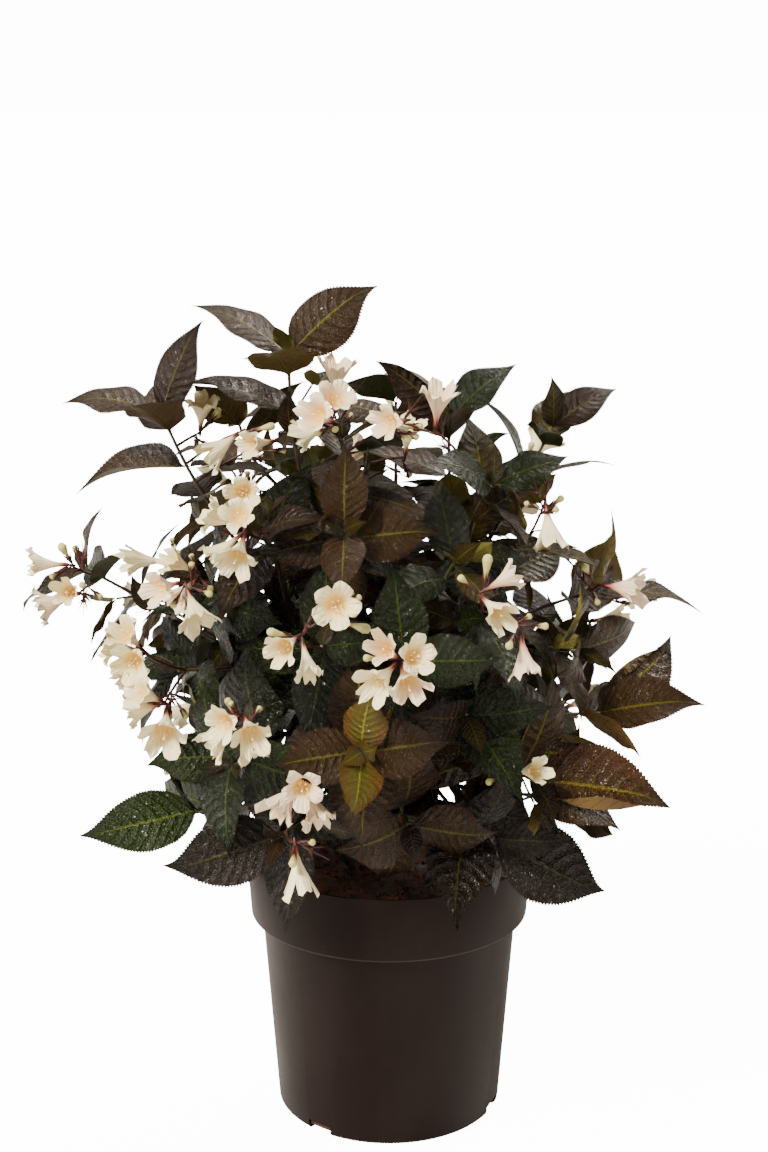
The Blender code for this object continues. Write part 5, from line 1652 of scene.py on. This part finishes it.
def leaf_points(leaf, rng, rolled):
    """The blade's points in the place, bend and size of one leaf."""
    along, face = np.array(leaf["along"]), np.array(leaf["face"])
    side = np.cross(face, along)
    length, sag, width = leaf["length"], leaf["sag"], leaf["width"]
    across = blade_across * blade_half * width * 0.5
    share = np.abs(blade_across) * blade_half
    forward = length * (blade_s - LEAF_CURL * sag * sag * blade_s ** 3)
    fall = length * (sag * blade_s ** 2 + rng.uniform(0.0, 0.20) * blade_s ** 4)
    rise = np.abs(across) * leaf["fold"] * rng.uniform(0.8, 1.5)
    rise = rise - width * rng.uniform(0.02, 0.20) * share ** 2.4
    wave = np.sin(math.tau * (rng.uniform(1.6, 2.6) * blade_s + rng.random())
                  + np.where(blade_across > 0.0, rng.uniform(0.5, 2.5), 0.0))
    rise = rise + length * rng.uniform(0.010, 0.038) * wave * share ** 2
    midrib = np.abs(blade_across) < 0.01
    rise = rise + blade_skin * (BLADE_THICKNESS + MIDRIB_THICKNESS * midrib)
    if rng.random() < rolled:
        one_side = blade_across * rng.choice((1.0, -1.0))
        roll = np.sin(math.pi * np.clip(blade_s * 1.2 - 0.1, 0.0, 1.0)) ** 0.7
        turned = roll * (one_side > 0.9)
        # The underside goes round the outside of the fold, so that it lies on top of the roll
        outside = roll * (one_side > 0.4) * (one_side < 0.9) * (blade_skin < 0.0)
        across = across * (1.0 - 0.72 * turned + 0.12 * outside)
        rise = rise + width * 0.07 * turned
    swing = rng.uniform(-0.35, 0.35) * blade_s
    bend = length * (rng.uniform(-0.05, 0.05) * blade_s ** 2
                     + rng.uniform(-0.9, 0.9) * np.maximum(blade_s - 0.72, 0.0) ** 2)
    out, lift = across * np.cos(swing) + bend, rise + across * np.sin(swing)
    return (np.array(leaf["root"]) + along * forward[:, None] + side * out[:, None]
            + face * (lift - fall)[:, None])


# Tints of the leaves: blade, the flush towards its edge and how strong that is, its veins,
# its underside, and how rough its upper skin is
LEAF_TINTS = {
    "bronze": ((0.0238, 0.0114, 0.0024), (0.0297, 0.0085, 0.0026), 0.6, (0.101, 0.0854, 0.0063),
               (0.0874, 0.0620, 0.0152), 0.28),
    "plum": ((0.0124, 0.0052, 0.0020), (0.0190, 0.0048, 0.0024), 0.5, (0.0653, 0.0489, 0.0052),
             (0.0532, 0.0319, 0.0121), 0.25),
    "deep_green": ((0.0042, 0.0094, 0.0008), (0.0080, 0.0066, 0.0008), 0.4,
                   (0.0369, 0.0512, 0.0034), (0.0433, 0.0511, 0.0101), 0.24),
    "fresh_green": ((0.0089, 0.0188, 0.0014), (0.0131, 0.0137, 0.0015), 0.4,
                    (0.0683, 0.0854, 0.0052), (0.0648, 0.0780, 0.0139), 0.23),
    # The two shade tints are darker versions of plum and deep green: painted shade for leaves inside
    # the crown and low round the rim
    "shade_plum": ((0.0056, 0.0026, 0.0006), (0.0078, 0.0024, 0.0007), 0.5,
                   (0.0320, 0.0265, 0.0026), (0.0342, 0.0239, 0.0101), 0.29),
    "shade_green": ((0.0019, 0.0038, 0.0005), (0.0033, 0.0026, 0.0005), 0.4,
                    (0.0150, 0.0215, 0.0017), (0.0216, 0.0272, 0.0064), 0.26),
    "olive": ((0.0332, 0.0251, 0.0020), (0.0356, 0.0131, 0.0023), 0.6, (0.143, 0.131, 0.0086),
              (0.133, 0.115, 0.0216), 0.29),
    "russet": ((0.0356, 0.0147, 0.0017), (0.0624, 0.0147, 0.0023), 0.7, (0.137, 0.102, 0.0075),
               (0.116, 0.0637, 0.0139), 0.29),
    "young_gold": ((0.0742, 0.0597, 0.0023), (0.118, 0.0318, 0.0020), 0.8, (0.213, 0.194, 0.0091),
                   (0.165, 0.143, 0.0200), 0.31),
}
# The leaves of the low front rosette are the broadest
ROSETTE_BREADTH = 1.32
GROWN_LEAF = 0.045
# Each side of the plant: its masses, and the tints of its young, its grown and its old leaves
SPRAYS = {
    "top": ("crown_centre crown_left crown_front",
            "bronze olive", "bronze plum bronze", "deep_green shade_green"),
    "top_right": ("top_right crown_right shoulder_right",
                  "olive", "olive bronze deep_green plum", "deep_green shade_green"),
    "left": ("far_left shoulder_left side_left shoulder_front",
             "olive bronze", "deep_green plum deep_green shade_green", "deep_green shade_green"),
    "front": ("front_left front_centre front_right",
              "deep_green olive", "plum deep_green shade_green deep_green",
              "shade_green deep_green"),
    "rosette": ("front_low", "young_gold", "bronze", "shade_green plum"),
    "right": ("low_right", "olive russet", "bronze plum bronze russet", "shade_plum deep_green"),
    "low_left": ("low_left rim_left",
                 "olive fresh_green", "fresh_green deep_green fresh_green",
                 "deep_green fresh_green"),
    "rim": ("rim_front rim_right", "bronze plum", "shade_plum", "shade_green shade_plum"),
    "far_right": ("far_right", "olive russet", "russet bronze olive bronze", "plum deep_green"),
    "back": ("", "olive bronze", "deep_green plum bronze", "shade_green deep_green"),
}
spray_of = {mass: spray for spray, row in SPRAYS.items() for mass in row[0].split()}
tint_heaps = {name: Heap() for name in LEAF_TINTS}
rng = random.Random("tints")
YOUNG, GROWN, OLD = 1, 2, 3
dealt = [(leaf, mass, GROWN if leaf["length"] > GROWN_LEAF else YOUNG)
         for mass, grown in leaves.items() for leaf in grown]
for leaf, kind in extra_leaves:
    near = min(MASSES, key=lambda mass: (MASSES[mass]["shoots"][0]["tip"] - leaf["root"]).length)
    dealt.append((leaf, near, YOUNG if kind == "young" else OLD))
for leaf, mass, age in dealt:
    spray = spray_of.get(mass, "back")
    name = rng.choice(SPRAYS[spray][age].split())
    if spray == "rosette":
        leaf = dict(leaf, width=leaf["width"] * ROSETTE_BREADTH)
    rolled = ROLLED_RIGHT if spray in ("right", "far_right") and age != YOUNG else ROLLED_SHARE
    if spray == "right" and leaf["length"] > LARGE_LEAF:
        rolled = 1.0
    tint_heaps[name].add((leaf_points(leaf, rng, rolled), *blade[1:]))

# The skin of a leaf in its own measures: midrib, side veins that sweep towards the tip, and
# the quilting between them
SIDE_VEINS = 10.5
UNDERSIDE_ROUGHNESS = 0.62
QUILT_DEPTH = 0.0019
quilt, given, made = new_group(
    "leaf_skin", {"Blade": (0.03, 0.03, 0.01, 1.0), "Flush": (0.05, 0.02, 0.01, 1.0),
                  "Flush strength": 0.5, "Veins": (0.1, 0.1, 0.03, 1.0),
                  "Underside": (0.08, 0.07, 0.03, 1.0), "Upper roughness": 0.31, "Seed": 0.0},
    ("Color", "Roughness", "Height"))
where = mapped_place(quilt)
under = calc(quilt, "GREATER_THAN", where[0], 0.5)
part = calc(quilt, "FRACT", times(quilt, where[0], 2.0))
across = times(quilt, calc(quilt, "MULTIPLY_ADD", part, 2.0, -1.0), 1.04)
far = calc(quilt, "ABSOLUTE", across)
along = where[1]
handed = times(quilt, calc(quilt, "SIGN", across), 0.22)
sweep = times(quilt, calc(quilt, "POWER", far, 1.35), 0.17)
place = joined(quilt, across, times(quilt, along, 3.0), given["Seed"])
drift = cloud(quilt, place, 1.6, 2.0)
rank = calc(quilt, "MULTIPLY_ADD", calc(quilt, "SUBTRACT", along, sweep), SIDE_VEINS, handed)
rank = calc(quilt, "MULTIPLY_ADD", drift, 0.7, rank)
near = calc(quilt, "MULTIPLY_ADD", calc(quilt, "FRACT", rank), 2.0, -1.0)
near = calc(quilt, "ABSOLUTE", near)
vein = times(quilt, ease(quilt, near, 0.84, 0.99), ease(quilt, far, 0.75, 1.0, 1.0, 0.25))
midrib = times(quilt, ease(quilt, far, 0.015, 0.075, 1.0, 0.0),
               ease(quilt, along, 0.75, 1.0, 1.0, 0.35))
cells = joined(quilt, times(quilt, far, 13.0), times(quilt, rank, 3.6), given["Seed"])
net = add_node(quilt, "ShaderNodeTexVoronoi", {"Vector": cells, "Scale": 1.0},
               feature="DISTANCE_TO_EDGE").outputs["Distance"]
swell = calc(quilt, "SUBTRACT", 1.0, calc(quilt, "POWER", near, 1.7))
billow = times(quilt, swell, ease(quilt, drift, 0.3, 0.7, 0.65, 0.95))
upper_height = calc(quilt, "MULTIPLY_ADD", ease(quilt, net, 0.0, 0.30), 0.42, billow)
upper_height = calc(quilt, "SUBTRACT", upper_height, times(quilt, midrib, 0.5))
lower_height = calc(quilt, "MAXIMUM", times(quilt, vein, 0.8), midrib)
flush = times(quilt, ease(quilt, far, 0.25, 1.0), given["Flush strength"])
flush = times(quilt, flush, ease(quilt, drift, 0.3, 0.65, 0.4, 1.0))
upper = tint(quilt, flush, given["Blade"], given["Flush"])
lower = tint(quilt, times(quilt, drift, 0.5), given["Underside"], given["Blade"])
upper_veins = calc(quilt, "MAXIMUM", times(quilt, vein, 0.30), times(quilt, midrib, 0.85))
lower_veins = calc(quilt, "MAXIMUM", times(quilt, vein, 0.5), midrib)
upper = tint(quilt, upper_veins, upper, given["Veins"])
lower = tint(quilt, lower_veins, lower, given["Veins"])
gloss = calc(quilt, "MULTIPLY_ADD", drift, 0.08, given["Upper roughness"])
rough = add_node(quilt, "ShaderNodeMix", {0: under, 2: gloss, 3: UNDERSIDE_ROUGHNESS})
height = add_node(quilt, "ShaderNodeMix", {0: under, 2: upper_height, 3: lower_height})
fill(quilt, made, {"Color": tint(quilt, under, upper, lower), "Roughness": rough.outputs[0],
                   "Height": height.outputs[0]})
for number, (name, (body, edge, strength, veins, lower, gloss)) in enumerate(LEAF_TINTS.items()):
    look, tree, shader = new_material(name + "_leaf")
    values = {"Blade": (*body, 1.0), "Flush": (*edge, 1.0), "Flush strength": strength,
              "Veins": (*veins, 1.0), "Underside": (*lower, 1.0), "Upper roughness": gloss,
              "Seed": 3.7 * number}
    skin = add_node(tree, "ShaderNodeGroup", values, node_tree=quilt).outputs
    fill(tree, shader, {"Base Color": skin["Color"], "Roughness": skin["Roughness"],
                        "Specular IOR Level": 0.29,
                        "Normal": raised(tree, skin["Height"], 1.0, QUILT_DEPTH)})
    tint_heaps[name].piece(name + "_leaves", look, "foliage")

# The studio: a plain pale floor that runs to a white sky, one broad soft sun from the upper
# left and weaker ones from the right and behind, and the camera where the photographer stood.
SKY_SEEN = 14.0
SKY_LIGHT = 0.30
FLOOR_GLOW = 13.0
# A broad white card above, which only the glossy leaves mirror
CARD_LIGHT = 1.3
WARMTH = (1.0, 0.93, 0.84)
WHITE = (1.0, 1.0, 1.0, 1.0)
# Each sun: where it stands, how broad it is in degrees, and its strength
SUNS = (("key_sun", (-1.0, -1.15, 1.6), 16.0, 8.4), ("fill_sun", (1.6, -1.0, 0.8), 50.0, 0.34),
        ("rim_sun", (0.9, 1.3, 1.3), 30.0, 4.0), ("side_sun", (-1.7, 0.2, 0.55), 40.0, 2.8))
FLOOR_RADIUS = 150.0
CAMERA_SPOT = (-0.0035, -1.3, 0.695)
CAMERA_PITCH = -13.5
CAMERA_LENS = 61.47
bm = bmesh.new()
bmesh.ops.create_circle(bm, cap_ends=True, segments=96, radius=FLOOR_RADIUS)
bmesh.ops.translate(bm, verts=bm.verts, vec=(0.0, 0.0, -0.0005))
floor = show("studio_floor", mesh_of(bm, "studio_floor"))
floor_look, tree, shader = new_material("pale_floor")
seen = add_node(tree, "ShaderNodeLightPath").outputs["Is Camera Ray"]
fill(tree, shader, {"Base Color": (0.62, 0.61, 0.60, 1.0), "Roughness": 1.0,
                    "Specular IOR Level": 0.0, "Emission Color": WHITE,
                    "Emission Strength": times(tree, seen, FLOOR_GLOW)})
floor.data.materials.append(floor_look)
sky = bpy.data.worlds.new("white_sky")
sky.use_nodes = True
tree = sky.node_tree
ray = add_node(tree, "ShaderNodeLightPath").outputs
compass = split(tree, add_node(tree, "ShaderNodeTexCoord").outputs["Generated"])
card = times(tree, ease(tree, compass[2], 0.40, 0.85),
             ease(tree, compass[0], -0.6, 0.8, CARD_LIGHT, CARD_LIGHT * 0.3))
strength = calc(tree, "MULTIPLY_ADD", ray["Is Camera Ray"], SKY_SEEN - SKY_LIGHT, SKY_LIGHT)
strength = calc(tree, "MULTIPLY_ADD", ray["Is Glossy Ray"], card, strength)
fill(tree, tree.nodes["Background"], {
    "Strength": strength, "Color": tint(tree, ray["Is Camera Ray"], (*WARMTH, 1.0), WHITE)})
bpy.context.scene.world = sky
for name, spot, spread, power in SUNS:
    lamp = bpy.data.lights.new(name, "SUN")
    lamp.angle = math.radians(spread)
    lamp.energy = power
    lamp.color = WARMTH
    aim = (-Vector(spot)).to_track_quat("-Z", "Y").to_matrix().to_4x4()
    show(name, lamp).matrix_world = Matrix.Translation(spot) @ aim
lens = bpy.data.cameras.new("camera")
lens.lens = CAMERA_LENS
lens.sensor_width = 36.0
camera = show("camera", lens)
camera.matrix_world = (Matrix.Translation(CAMERA_SPOT)
                       @ Matrix.Rotation(math.radians(90.0 + CAMERA_PITCH), 4, "X"))
bpy.context.scene.camera = camera
